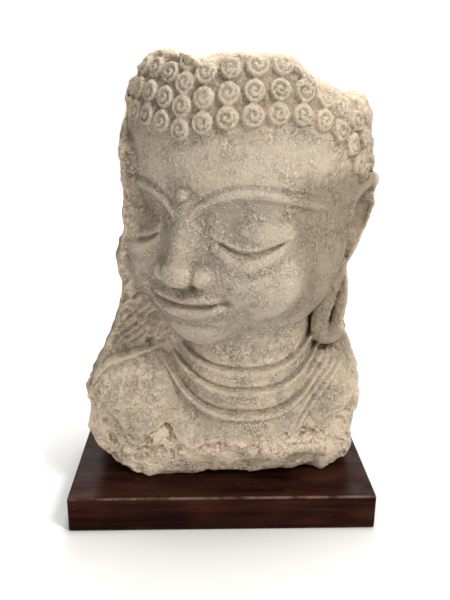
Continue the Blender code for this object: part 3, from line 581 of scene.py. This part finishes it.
def head(p):
    q = (p - vector(*HEAD_PLACE)) @ head_turn()
    s = q / vector(HEAD_BREADTH, 1, 1)
    h = np.stack([np.abs(s[:, 0]), s[:, 1], s[:, 2]], 1)
    f = face_masses(skull(q), h)
    x, z = h[:, 0], h[:, 2]
    on_front = 1 - step(q[:, 1], *FACE_FRONT)
    f = f - on_front * (eyelids(x, z) + brows(x, z) + lips(x, z) + forehead_mark(x, z))
    return add_curls(add_ear(f, q / vector(EAR_BREADTH, 1, 1)), q)


# The neck, the chest and the block


def neck(p):
    """A column that widens downwards in overhanging folds."""
    x, y = p[:, 0] - NECK_AXIS[0], p[:, 1] - NECK_AXIS[1]
    level = p[:, 2] + NECK_TILT * y - NECK_SAG * np.abs(x / (NECK_BREADTH * NECK_REACH)) ** 3
    lip, lip_rise, lip_width = NECK_LIP
    crease, crease_rise, crease_width = NECK_CREASE
    reach = np.full(len(p), NECK_REACH)
    for height, out in NECK_FOLDS:
        reach += out * (1 - rise(level, height, NECK_FOLD_EDGE))
        raised = lip * hump(level - height - lip_rise, lip_width)
        reach += raised - crease * hump(level - height - crease_rise, crease_width)
    reach += COLLAR_RELIEF * hump(level - NECK_FOLDS[-1][0] - COLLAR_RISE, COLLAR_WIDTH)
    return np.maximum(np.hypot(x / NECK_BREADTH, y) - reach, p[:, 2] - NECK_TOP)


def chest(p):
    ledge = p[:, 2] - LEDGE_HEIGHT - LEDGE_SLOPE * p[:, 0]
    ledge = ledge + LEDGE_DROP * np.clip(LEDGE_END - p[:, 0], 0, None) ** 2
    rim = LEDGE_RIM * hump(ledge + LEDGE_RIM_DROP, LEDGE_RIM_WIDTH)
    right = kept_in(ellipsoid(p, *RIGHT_SHOULDER) - rim, ledge, CRISP)
    return joined(joined(ellipsoid(p, *CHEST), ellipsoid(p, *LEFT_SHOULDER), SOFT), right, SOFT)


def robe_folds(p):
    """Relief of the cloth's folds, which fan from the shoulder down to the chest."""
    relief = np.zeros(len(p))
    level = np.abs(p[:, 2] - ROBE_MIDDLE) < ROBE_REACH
    front = np.nonzero((p[:, 1] < ROBE_BACK) & level & (p[:, 0] > ROBE_SIDE))[0]
    x, z = p[front, 0], p[front, 2]
    for k in range(ROBE_FOLDS):
        line = smooth_curve(np.array(ROBE_FOLD) + k * vector(*ROBE_FOLD_STEP), ROBE_FOLD_POINTS)
        fold = hump(distance_to_line(x, z, line), ROBE_FOLD_WIDTH)
        relief[front] += ROBE_FOLD_RELIEF * fold * step(z, *ROBE_FOLD_FADE)
    return relief


def outline_distance(x, z):
    """Distance to the broken outline, negative inside it."""
    corners = np.array(OUTLINE + OUTLINE[:1])
    inside = np.zeros(len(x), bool)
    for a, b in zip(corners[:-1], corners[1:]):
        if a[1] != b[1]:
            crosses = (a[1] > z) != (b[1] > z)
            inside ^= crosses & (x < a[0] + (z - a[1]) * (b[0] - a[0]) / (b[1] - a[1]))
    far = distance_to_line(x, z, corners)
    return np.where(inside, -far, far)


def breaks(p):
    """The broken sides, top, back and foot."""
    rough = noise(p, *SIDE_ROUGHNESS, SIDE_SEED)
    back = p[:, 1] - BLOCK_BACK + noise(p, *BACK_ROUGHNESS, BACK_SEED)
    foot = -(p[:, 1] - FOOT_EDGE) - FOOT_SLOPE * p[:, 2]
    chipped = step(p[:, 0], *FOOT_CHIP_START) * (1 - step(p[:, 0], *FOOT_CHIP_END))
    foot = foot + FOOT_CHIP * chipped * (1 - step(p[:, 2], *FOOT_CHIP_TOP))
    sides = outline_distance(p[:, 0], p[:, 2]) + rough
    return kept_in(kept_in(sides, back, ROUND), foot + rough, ROUND)


def block_front(p):
    """Depth of the rough face of the block that is left beside and behind the head."""
    behind = np.maximum(step(p[:, 0], *BLOCK_STEP_X), step(p[:, 2], *BLOCK_STEP_Z))
    return BLOCK_FRONT + BLOCK_STEP_BACK * behind + noise(p, *BLOCK_ROUGHNESS, BLOCK_SEED)


def fractal(q, height, cell, seed, octaves=3):
    """Noise of ever finer grain, each octave half as high and half as wide as the one before."""
    total = 0
    for k in range(octaves):
        total = total + noise(q, height / 2**k, cell / 2**k, seed + k)
    return total


def treads(values, count):
    """values from -1 to 1 cut into flat treads with a short rise between each and the next."""
    raised = values * count / 2
    whole = np.floor(raised)
    return (whole + step(raised - whole, TREAD_FLAT, 1)) * 2 / count


def flaking(p):
    """How deep the chest's skin has flaked off below a ragged edge that rises towards both shoulders."""
    x, z = p[:, 0], p[:, 2]
    level = FLAKE_LEVEL + FLAKE_SPREAD[0] * np.clip(FLAKE_RISE[0] - x, 0, None) ** 2
    level = level + FLAKE_SPREAD[1] * np.clip(x - FLAKE_RISE[1], 0, None) ** 2
    lost = 1 - step(z - level - fractal(p, *FLAKE_EDGE), *FLAKE_CLIFF)
    plates = treads(fractal(p, *FLAKE_PLATES), FLAKE_TREADS)
    shown = (1 - step(z, *FLAKE_TOP)) * (1 - step(p[:, 1], *FLAKE_BACK))
    spalled = shown * SPALL_RELIEF * treads(fractal(p, *SPALLS), SPALL_TREADS)
    return shown * lost * FLAKE_DEPTH * (1 + plates) + spalled


def tool_marks(p):
    """Slanting furrows of a claw chisel on the block beside the jaw and the neck."""
    slant = math.radians(TOOTH_SLANT)
    along = p[:, 0] * math.cos(slant) + p[:, 2] * math.sin(slant)
    across = p[:, 2] * math.cos(slant) - p[:, 0] * math.sin(slant)
    q = np.stack([along / TOOTH_LENGTH, across / TOOTH_WIDTH, p[:, 1] / TOOTH_LENGTH], 1)
    furrows = noise(q, TOOTH_RELIEF, 1.0, TOOTH_SEED)
    return furrows * (1 - step(p[:, 2], *TOOTH_TOP)) * (1 - step(p[:, 0], *TOOTH_SIDE))


def masses(p):
    """(carved, block, breaks): the fields that meet in the stone's surface."""
    skin = fractal(p, *SKIN_GRAIN)
    body = joined(neck(p), chest(p) - robe_folds(p) + flaking(p), CRISP) + skin
    carved = joined(head(p) + skin * step(p[:, 0], *EAR_SIDE), body, FIRM)
    block = block_front(p) - p[:, 1]
    return carved, block, breaks(p)


def surfaces(carved, block, cut):
    """(hewn, broken): 1 where the block was left rough and 1 where it broke, and 0 on what was carved."""
    hewn = step(carved - block, *HEWN_FADE)
    broken = step(cut - np.minimum(carved, block), *BREAK_FADE)
    return hewn, broken


def head_place(p):
    """Points in the head's own fingers, with its breadth taken out."""
    return (p - vector(*HEAD_PLACE)) @ head_turn() / vector(HEAD_BREADTH, 1, 1)


def ear_side_darkening(p):
    """Where the side of the head is darker brown, beside and in the ear."""
    x, y, z = head_place(p).T
    return step(x, *EAR_BAND_SIDE) * step(y, *EAR_BAND_FRONT) * (1 - step(z, *EAR_BAND_TOP)) * step(z, *EAR_BAND_FOOT)


def handled(p):
    """Where hands have greyed the face, most below the brows."""
    _, y, z = head_place(p).T
    paler = 1 - HANDLED_BROW_LOSS * step(z, *HANDLED_BROW)
    return (1 - step(y, *HANDLED_BACK)) * paler * (1 - step(z, *HANDLED_TOP)) * step(z, *HANDLED_FOOT)


def stone_field(p):
    """Distance from the stone's surface, in fingers, at points in the stone's fingers."""
    carved, block, cut = masses(p)
    hewn, broken = surfaces(carved, block, cut)
    wear = CRISP + TOP_WEAR * step(p[:, 2], *WORN_Z) * step(p[:, 0], *WORN_X)
    f = kept_in(joined(carved, block, CRISP), cut, wear)
    f = f + np.maximum(hewn, broken) * (1 - EAR_BAND_SMOOTHING * ear_side_darkening(p)) * fractal(p, *BREAK_GRAIN)
    f = f + hewn * (1 - broken) * (tool_marks(p) + fractal(p, *HEWN_GRAIN))
    return np.maximum(f, -p[:, 2])


# From the field to a mesh


def sample_field(low, high, cell):
    """The field on a grid, worked out from coarse to fine, at each step only near the surface."""
    spacing = COARSEST
    counts = np.ceil((high - low) / cell / spacing).astype(int) + 1
    axes = [low[i] + cell * spacing * np.arange(counts[i]) for i in range(3)]
    grid = np.stack(np.meshgrid(*axes, indexing="ij"), -1)
    values = stone_field(grid.reshape(-1, 3)).reshape(counts)
    while spacing > 1:
        near = np.abs(values) < NEAR_SURFACE * cell * spacing
        spacing //= 2
        for axis in range(3):
            at = np.arange(2 * values.shape[axis] - 1)
            values = np.take(values, at // 2, axis)
            near = np.take(near, at // 2, axis) | np.take(near, (at + 1) // 2, axis)
        chosen = np.nonzero(near)
        values[chosen] = stone_field(low + cell * spacing * np.stack(chosen, 1))
    return values


def fill_touching_corners(values):
    """Fills a grid point wherever the stone would touch itself along no more than an edge."""
    for _ in range(FILL_ROUNDS):
        filled = 0
        for u, v in ((0, 1), (0, 2), (1, 2)):
            inside = values < 0
            corners = []
            for du, dv in ((0, 0), (1, 0), (1, 1), (0, 1)):
                part_of = [slice(None)] * 3
                part_of[u] = slice(du, values.shape[u] - 1 + du)
                part_of[v] = slice(dv, values.shape[v] - 1 + dv)
                corners.append(inside[tuple(part_of)])
            a, b, c, d = corners
            for offset, found in ((1, a & c & ~b & ~d), (0, b & d & ~a & ~c)):
                at = np.nonzero(found)
                filled += len(at[0])
                at[u][:] += offset
                values[at] = -1e-3
        if not filled:
            break


def cells_of(values):
    """(cells, points): the cells that the surface crosses, and where in each it is on average."""
    inside = values < 0
    size = [n - 1 for n in values.shape]
    corners = [(i, j, k) for i in (0, 1) for j in (0, 1) for k in (0, 1)]
    count = sum(inside[i : i + size[0], j : j + size[1], k : k + size[2]].astype(int) for i, j, k in corners)
    cells = np.stack(np.nonzero((count > 0) & (count < 8)), 1)
    total, hits = np.zeros((len(cells), 3)), np.zeros(len(cells))
    for start in corners:
        for axis in range(3):
            if start[axis]:
                continue
            first = cells + start
            second = first + np.eye(3, dtype=int)[axis]
            va, vb = values[tuple(first.T)], values[tuple(second.T)]
            crossed = (va < 0) != (vb < 0)
            t = np.where(crossed, va, 0) / np.where(crossed, va - vb, 1)
            place = start + t[:, None] * np.eye(3)[axis]
            total[crossed] += place[crossed]
            hits += crossed
    return cells, cells + total / hits[:, None]


def surface_nets(values):
    """Quads around each grid edge where the field changes sign, in grid units."""
    inside = values < 0
    cells, points = cells_of(values)
    number = np.full(values.shape, -1)
    number[tuple(cells.T)] = np.arange(len(cells))
    faces = []
    for axis in range(3):
        u, v = (axis + 1) % 3, (axis + 2) % 3
        changes = np.diff(inside.astype(int), axis=axis)
        for sign in (-1, 1):
            at = np.stack(np.nonzero(changes == sign), 1)
            ring = []
            for du, dv in ((0, 0), (-1, 0), (-1, -1), (0, -1)):
                cell = at.copy()
                cell[:, u] += du
                cell[:, v] += dv
                ring.append(number[tuple(cell.T)])
            faces.append(np.stack(ring[::-sign], 1))
    return points, np.concatenate(faces)


def mesh_from(name, points, faces):
    mesh = bpy.data.meshes.new(name)
    mesh.vertices.add(len(points))
    mesh.vertices.foreach_set("co", points.astype(np.float32).ravel())
    mesh.loops.add(faces.size)
    mesh.loops.foreach_set("vertex_index", faces.astype(np.int32).ravel())
    mesh.polygons.add(len(faces))
    mesh.polygons.foreach_set("loop_start", np.arange(0, faces.size, 4, dtype=np.int32))
    mesh.update(calc_edges=True)
    return mesh


def finished(obj):
    """The object's mesh with its modifiers applied."""
    graph = bpy.context.evaluated_depsgraph_get()
    mesh = bpy.data.meshes.new_from_object(obj.evaluated_get(graph), depsgraph=graph)
    obj.modifiers.clear()
    obj.data = mesh
    return mesh


def hollowness(points, mesh, rounds):
    """How far each vertex lies below the surface that its neighbours share, in metres; below 0 on a ridge."""
    ends = np.empty(2 * len(mesh.edges), np.int32)
    mesh.edges.foreach_get("vertices", ends)
    a, b = ends.reshape(-1, 2).T
    normals = np.empty(3 * len(points), np.float32)
    mesh.vertex_normals.foreach_get("vector", normals)
    degree = np.bincount(a, minlength=len(points)) + np.bincount(b, minlength=len(points))
    smooth = points.copy()
    for _ in range(rounds):
        total = np.zeros((len(points), 3))
        for i in range(3):
            total[:, i] += np.bincount(a, smooth[b, i], len(points))
            total[:, i] += np.bincount(b, smooth[a, i], len(points))
        smooth = 0.5 * smooth + 0.5 * total / degree[:, None]
    return ((smooth - points) * normals.reshape(-1, 3)).sum(1)


def paint(mesh, name, values):
    layer = mesh.attributes.new(name, "FLOAT", "POINT")
    layer.data.foreach_set("value", np.ascontiguousarray(values, np.float32))


def stone_piece(finish):
    cell = CELL / FINGER
    low, high = (vector(*corner) for corner in FIELD_BOX)
    values = sample_field(low, high, cell)
    fill_touching_corners(values)
    points, faces = surface_nets(values)
    points = low + cell * points
    on_foot = points[:, 2] < FOOT_SNAP * cell
    points[on_foot, 2] = 0
    base, top = (np.array(corner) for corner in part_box("stone_bust"))
    places = points * FINGER + vector(0, 0, PLINTH_HEIGHT + SEAT_GAP)
    places = np.clip(places, base, top)
    obj = bpy.data.objects.new("carved_stone", mesh_from("carved_stone", places, faces))
    bpy.context.scene.collection.objects.link(obj)
    obj.modifiers.new("Facets", "DECIMATE").ratio = STONE_FACETS / (2 * len(faces))
    mesh = finished(obj)
    mesh.polygons.foreach_set("use_smooth", np.ones(len(mesh.polygons), bool))
    mesh.materials.clear()
    mesh.materials.append(finish)
    at = np.empty(3 * len(mesh.vertices), np.float32)
    mesh.vertices.foreach_get("co", at)
    at = at.reshape(-1, 3).astype(float)
    fingers = (at - vector(0, 0, PLINTH_HEIGHT + SEAT_GAP)) / FINGER
    hewn, broken = surfaces(*masses(fingers))
    paint(mesh, "hewn", hewn * (1 - step(fingers[:, 1], *BACK_FADE)))
    paint(mesh, "broken", broken)
    paint(mesh, "ear_side_dark", ear_side_darkening(fingers))
    paint(mesh, "handled", handled(fingers) * (1 - hewn))
    paint(mesh, "flaked", flaking(fingers) / FLAKE_DEPTH)
    # the hollow measures below place the painted shade in hollows and the painted highlight on ridges
    paint(mesh, "fine_hollow", hollowness(at, mesh, FINE_ROUNDS) / FINE_DEPTH)
    paint(mesh, "wide_hollow", hollowness(at, mesh, WIDE_ROUNDS) / WIDE_DEPTH)
    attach(obj, "root")
    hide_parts("stone_bust")
    print("carved_stone", len(mesh.polygons), "faces")
    return obj


# Materials. Each takes its place from the object's own coordinates, in metres


class Nodes:
    """A material's node tree, made call by call."""

    def __init__(self, name):
        self.material = bpy.data.materials.new(name)
        self.material.use_nodes = True
        self.tree = self.material.node_tree
        self.shader = self.tree.nodes["Principled BSDF"]
        self.place = self.add("ShaderNodeTexCoord").outputs["Object"]

    def add(self, kind, **settings):
        node = self.tree.nodes.new(kind)
        for name, value in settings.items():
            setattr(node, name, value)
        return node

    def put(self, value, socket):
        if isinstance(value, bpy.types.NodeSocket):
            self.tree.links.new(value, socket)
        elif isinstance(value, tuple) and len(value) == 3 and socket.type == "RGBA":
            socket.default_value = (*value, 1.0)
        else:
            socket.default_value = value

    def math(self, operation, a, b=0.0, c=0.0):
        node = self.add("ShaderNodeMath", operation=operation)
        for socket, value in zip(node.inputs, (a, b, c)):
            self.put(value, socket)
        return node.outputs[0]

    def ramp(self, value, low, high, start=0.0, end=1.0):
        """value's range low to high as start to end, eased and clamped."""
        node = self.add("ShaderNodeMapRange", interpolation_type="SMOOTHSTEP")
        names = ("Value", "From Min", "From Max", "To Min", "To Max")
        for name, given in zip(names, (value, low, high, start, end)):
            self.put(given, node.inputs[name])
        return node.outputs["Result"]

    def mix(self, amount, a, b):
        node = self.add("ShaderNodeMix", data_type="RGBA")
        self.put(amount, node.inputs["Factor"])
        self.put(a, node.inputs[6])
        self.put(b, node.inputs[7])
        return node.outputs[2]

    def times(self, a, b):
        return self.math("MULTIPLY", a, b)

    def off_by(self, a, b):
        """The size of the difference."""
        return self.math("ABSOLUTE", self.math("SUBTRACT", a, b))

    def tinted(self, colour, where, share, tone):
        """colour with tone laid over it where the mask says, and no more strongly than share."""
        return self.mix(self.times(where, share), colour, tone)

    def attribute(self, name):
        return self.add("ShaderNodeAttribute", attribute_name=name).outputs["Fac"]

    def noise(self, size, detail=3.0, roughness=0.55, stretch=(1, 1, 1), shift=0.0, distortion=0.0):
        """Noise with grains of that size in metres, longer along the axes where stretch is under 1."""
        mapping = self.add("ShaderNodeMapping")
        self.put(self.place, mapping.inputs["Vector"])
        mapping.inputs["Location"].default_value = (shift, shift, shift)
        mapping.inputs["Scale"].default_value = stretch
        node = self.add("ShaderNodeTexNoise")
        self.put(mapping.outputs[0], node.inputs["Vector"])
        node.inputs["Scale"].default_value = 1 / size
        node.inputs["Detail"].default_value = detail
        node.inputs["Roughness"].default_value = roughness
        node.inputs["Distortion"].default_value = distortion
        return node.outputs["Fac"]

    def cells(self, size):
        node = self.add("ShaderNodeTexVoronoi")
        self.put(self.place, node.inputs["Vector"])
        node.inputs["Scale"].default_value = 1 / size
        return node.outputs["Distance"]

    def bump(self, height, strength, distance, normal=None):
        node = self.add("ShaderNodeBump")
        node.inputs["Strength"].default_value = strength
        node.inputs["Distance"].default_value = distance
        self.put(height, node.inputs["Height"])
        if normal is not None:
            self.put(normal, node.inputs["Normal"])
        return node.outputs["Normal"]


def stone_colour(n, grain, gritty, web):
    """Beige skin, browner where it was left rough with painted shade added there, darker brown on the side of
    the head by the ear, and pale ochre where it broke or flaked; painted shade in hollows and a painted
    highlight on ridges.
    """
    hewn, broken, flaked = n.attribute("hewn"), n.attribute("broken"), n.attribute("flaked")
    fine, wide, ear_side_dark = n.attribute("fine_hollow"), n.attribute("wide_hollow"), n.attribute("ear_side_dark")
    carved = n.math("SUBTRACT", 1.0, n.math("MAXIMUM", hewn, broken))
    patch = n.noise(PATCH, 3.0, 0.6, shift=1.7)
    cloud = n.noise(CLOUD, 2.0, 0.5, shift=5.3)
    colour = n.mix(n.ramp(cloud, 0.35, 0.65), BEIGE, TAN)
    colour = n.tinted(colour, n.times(n.ramp(patch, 0.40, 0.58), carved), 0.5, RUBBED_GREY)
    # the rough block's browner tone, with painted shade of the head's shadow in it
    colour = n.tinted(colour, n.ramp(hewn, 0.3, 0.9), 0.75, HEWN_BROWN_AND_SHADE)
    colour = n.tinted(colour, n.attribute("handled"), n.ramp(patch, 0.3, 0.6, 0.5, 0.8), HANDLED_GREY)
    # darker brown on the side of the head by the ear
    colour = n.tinted(colour, ear_side_dark, n.ramp(cloud, 0.3, 0.55, 0.75, 0.95), EAR_SIDE_BROWN)
    bare = n.times(n.math("MAXIMUM", broken, n.ramp(flaked, 0.05, 0.4)), n.math("SUBTRACT", 1.0, hewn))
    ochre = n.mix(n.ramp(n.noise(OCHRE_PATCH, 3.0, 0.6, shift=21.0), 0.42, 0.6), OCHRE, ROSY_OCHRE)
    colour = n.tinted(colour, bare, n.ramp(cloud, 0.35, 0.6, 0.85, 0.97), ochre)
    dark = n.times(n.ramp(grain, 0.47, 0.36), gritty)
    colour = n.tinted(colour, dark, 0.45, DARK_GRAIN)
    light = n.times(n.ramp(n.noise(PALE_GRAIN, 1.5, 0.6, shift=9.2), 0.54, 0.66), gritty)
    light = n.times(light, n.ramp(ear_side_dark, 0.0, 1.0, 1.0, 0.35))
    colour = n.tinted(colour, light, 0.48, LIGHT_GRAIN)
    colour = n.tinted(colour, web, 0.62, VEIN_BROWN)
    colour = n.tinted(colour, n.ramp(n.off_by(flaked, 0.3), 0.28, 0.05), 0.5, RIM_BROWN)
    # painted highlight on ridges, weaker on the darker side of the head by the ear
    ridge = n.times(n.ramp(fine, -0.15, -0.9), n.ramp(ear_side_dark, 0.0, 1.0, 1.0, 0.3))
    colour = n.tinted(colour, ridge, 0.34, RIDGE_HIGHLIGHT_CREAM)
    # painted shade in fine hollows and pits, then in wide hollows
    colour = n.tinted(colour, n.ramp(fine, 0.5, 2.0), 0.45, HOLLOW_SHADE_BROWN)
    return n.tinted(colour, n.ramp(wide, 0.5, 2.2), 0.3, WIDE_HOLLOW_SHADE_BROWN)


def stone_finish():
    """Weathered granular stone, speckled beige where it was carved."""
    n = Nodes("stone")
    gritty = n.ramp(n.noise(GRIT_PATCH, 3.0, 0.65, shift=13.1), 0.40, 0.56, 0.3, 1.0)
    grain = n.noise(GRAIN, 1.5, 0.6)
    web = n.ramp(n.off_by(n.noise(VEIN, 2.5, 0.65, shift=11.3), 0.5), 0.04, 0.0)
    web = n.times(web, n.ramp(n.noise(VEIN_PATCH, 2.0, 0.5, shift=17.1), 0.42, 0.58, 0.15, 1.0))
    n.put(stone_colour(n, grain, gritty, web), n.shader.inputs["Base Color"])
    n.put(n.ramp(grain, 0.3, 0.7, 0.82, 0.96), n.shader.inputs["Roughness"])
    n.shader.inputs["Specular IOR Level"].default_value = STONE_GLOSS
    height = n.math("ADD", n.times(grain, 0.8), n.times(n.ramp(n.cells(PIT), 0.0, 0.35), 0.35))
    height = n.math("SUBTRACT", height, n.times(web, 0.4))
    height = n.times(height, n.ramp(gritty, 0.3, 1.0, 0.55, 1.0))
    normal = n.bump(height, 0.9, BUMP_DEPTH)
    normal = n.bump(n.noise(LUMP, 3.0, 0.6, shift=7.7), 0.5, BUMP_DEPTH, normal)
    n.put(normal, n.shader.inputs["Normal"])
    return n.material


def wood_finish():
    """Dark red-brown hardwood, sealed and buffed to a low gloss, with a painted highlight along the top's
    front and back edges.
    """
    n = Nodes("dark_wood")
    figure = n.noise(FIGURE, 4.0, 0.6, stretch=(0.06, 1, 1), distortion=0.6)
    pores = n.noise(PORE, 2.0, 0.6, stretch=(0.04, 1, 1), shift=2.0)
    broad = n.noise(BROAD_FIGURE, 2.0, 0.5, stretch=(0.5, 1, 1), shift=4.0)
    colour = n.mix(n.ramp(figure, 0.35, 0.68), WOOD_DARK, WOOD_RED)
    colour = n.tinted(colour, n.ramp(broad, 0.45, 0.7), 0.6, WOOD_BROWN)
    colour = n.tinted(colour, n.ramp(pores, 0.42, 0.30), 0.7, WOOD_PORE)
    split = n.add("ShaderNodeSeparateXYZ")
    n.put(n.place, split.inputs[0])
    _, y, z = split.outputs
    # painted highlight along the top's front and back edges, in patches
    near_top = n.off_by(z, PLINTH_HEIGHT - EDGE_INSET)
    near_front = n.off_by(n.math("ABSOLUTE", y), PLINTH_DEPTH / 2 - EDGE_INSET)
    edge = n.ramp(n.math("MAXIMUM", near_top, near_front), EDGE_WIDTH, EDGE_CORE)
    edge_highlight = n.times(edge, n.ramp(n.noise(EDGE_HIGHLIGHT_PATCH, 4.0, 0.7, shift=6.0), 0.38, 0.6, 0.15, 1.0))
    colour = n.tinted(colour, edge_highlight, 0.7, WOOD_EDGE_HIGHLIGHT)
    scratch = n.noise(SCRATCH, 3.0, 0.7, stretch=(0.5, 1.2, 1), shift=8.0, distortion=2.5)
    scratch = n.ramp(scratch, 0.665, 0.69)
    colour = n.tinted(colour, scratch, 0.45, WOOD_SCRATCH)
    n.put(colour, n.shader.inputs["Base Color"])
    rough = n.ramp(n.noise(SHEEN, 4.0, 0.6, shift=1.0), 0.3, 0.7, 0.26, 0.40)
    rough = n.math("ADD", rough, n.times(n.math("ADD", scratch, edge_highlight), 0.15))
    n.put(rough, n.shader.inputs["Roughness"])
    n.shader.inputs["Specular IOR Level"].default_value = WOOD_GLOSS
    n.shader.inputs["Specular Tint"].default_value = WOOD_TINT
    height = n.math("ADD", n.times(pores, 0.6), figure)
    n.put(n.bump(height, 0.25, WOOD_BUMP), n.shader.inputs["Normal"])
    return n.material


def floor_finish():
    n = Nodes("pale_floor")
    colour = n.mix(n.ramp(n.noise(FLOOR_PATCH, 2.0, 0.5), 0.3, 0.7), *FLOOR_TONES)
    n.put(colour, n.shader.inputs["Base Color"])
    n.shader.inputs["Roughness"].default_value = 0.9
    return n.material


# The camera, the lights and the floor


def camera():
    """The photograph's camera."""
    obj = bpy.data.objects.new("camera", bpy.data.cameras.new("camera"))
    bpy.context.scene.collection.objects.link(obj)
    backward = [-value for value in CAMERA_FORWARD]
    rows = zip(CAMERA_RIGHT, CAMERA_UP, backward, CAMERA_EYE)
    obj.matrix_world = Matrix([*rows, (0, 0, 0, 1)])
    obj.data.lens = CAMERA_LENS
    obj.data.clip_start = CAMERA_NEAR
    bpy.context.scene.camera = obj


def lamp(name, place, target, size, power, colour):
    light = bpy.data.lights.new(name, "AREA")
    light.shape = "DISK"
    light.size = size
    light.energy = power
    light.color = colour
    obj = bpy.data.objects.new(name, light)
    bpy.context.scene.collection.objects.link(obj)
    obj.location = place
    obj.rotation_mode = "QUATERNION"
    obj.rotation_quaternion = (Vector(target) - Vector(place)).to_track_quat("-Z", "Y")


def surroundings():
    """Soft light from all round, seen by the camera as plain white."""
    world = bpy.data.worlds.new("studio")
    world.use_nodes = True
    bpy.context.scene.world = world
    sky = world.node_tree.nodes["Background"]
    sky.inputs["Color"].default_value = SKY
    sky.inputs["Strength"].default_value = SKY_STRENGTH
    backdrop = world.node_tree.nodes.new("ShaderNodeBackground")
    backdrop.inputs["Color"].default_value = (1.0, 1.0, 1.0, 1.0)
    seen = world.node_tree.nodes.new("ShaderNodeLightPath")
    either = world.node_tree.nodes.new("ShaderNodeMixShader")
    link = world.node_tree.links.new
    link(seen.outputs["Is Camera Ray"], either.inputs[0])
    link(sky.outputs[0], either.inputs[1])
    link(backdrop.outputs[0], either.inputs[2])
    link(either.outputs[0], world.node_tree.nodes["World Output"].inputs["Surface"])


def studio():
    surroundings()
    for values in LAMPS:
        lamp(*values)
    bpy.context.scene.view_settings.view_transform = "Standard"
    mesh = bpy.data.meshes.new("floor")
    bm = bmesh.new()
    bmesh.ops.create_grid(bm, x_segments=4, y_segments=4, size=FLOOR_REACH)
    bm.to_mesh(mesh)
    bm.free()
    floor = bpy.data.objects.new("floor", mesh)
    bpy.context.scene.collection.objects.link(floor)
    floor.location.z = -FLOOR_DROP
    mesh.materials.append(floor_finish())


def main():
    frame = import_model()
    camera()
    studio()
    stone_piece(stone_finish())
    board = frame["nodes"]["wooden_plinth"]
    board.material_slots[0].material = wood_finish()


main()
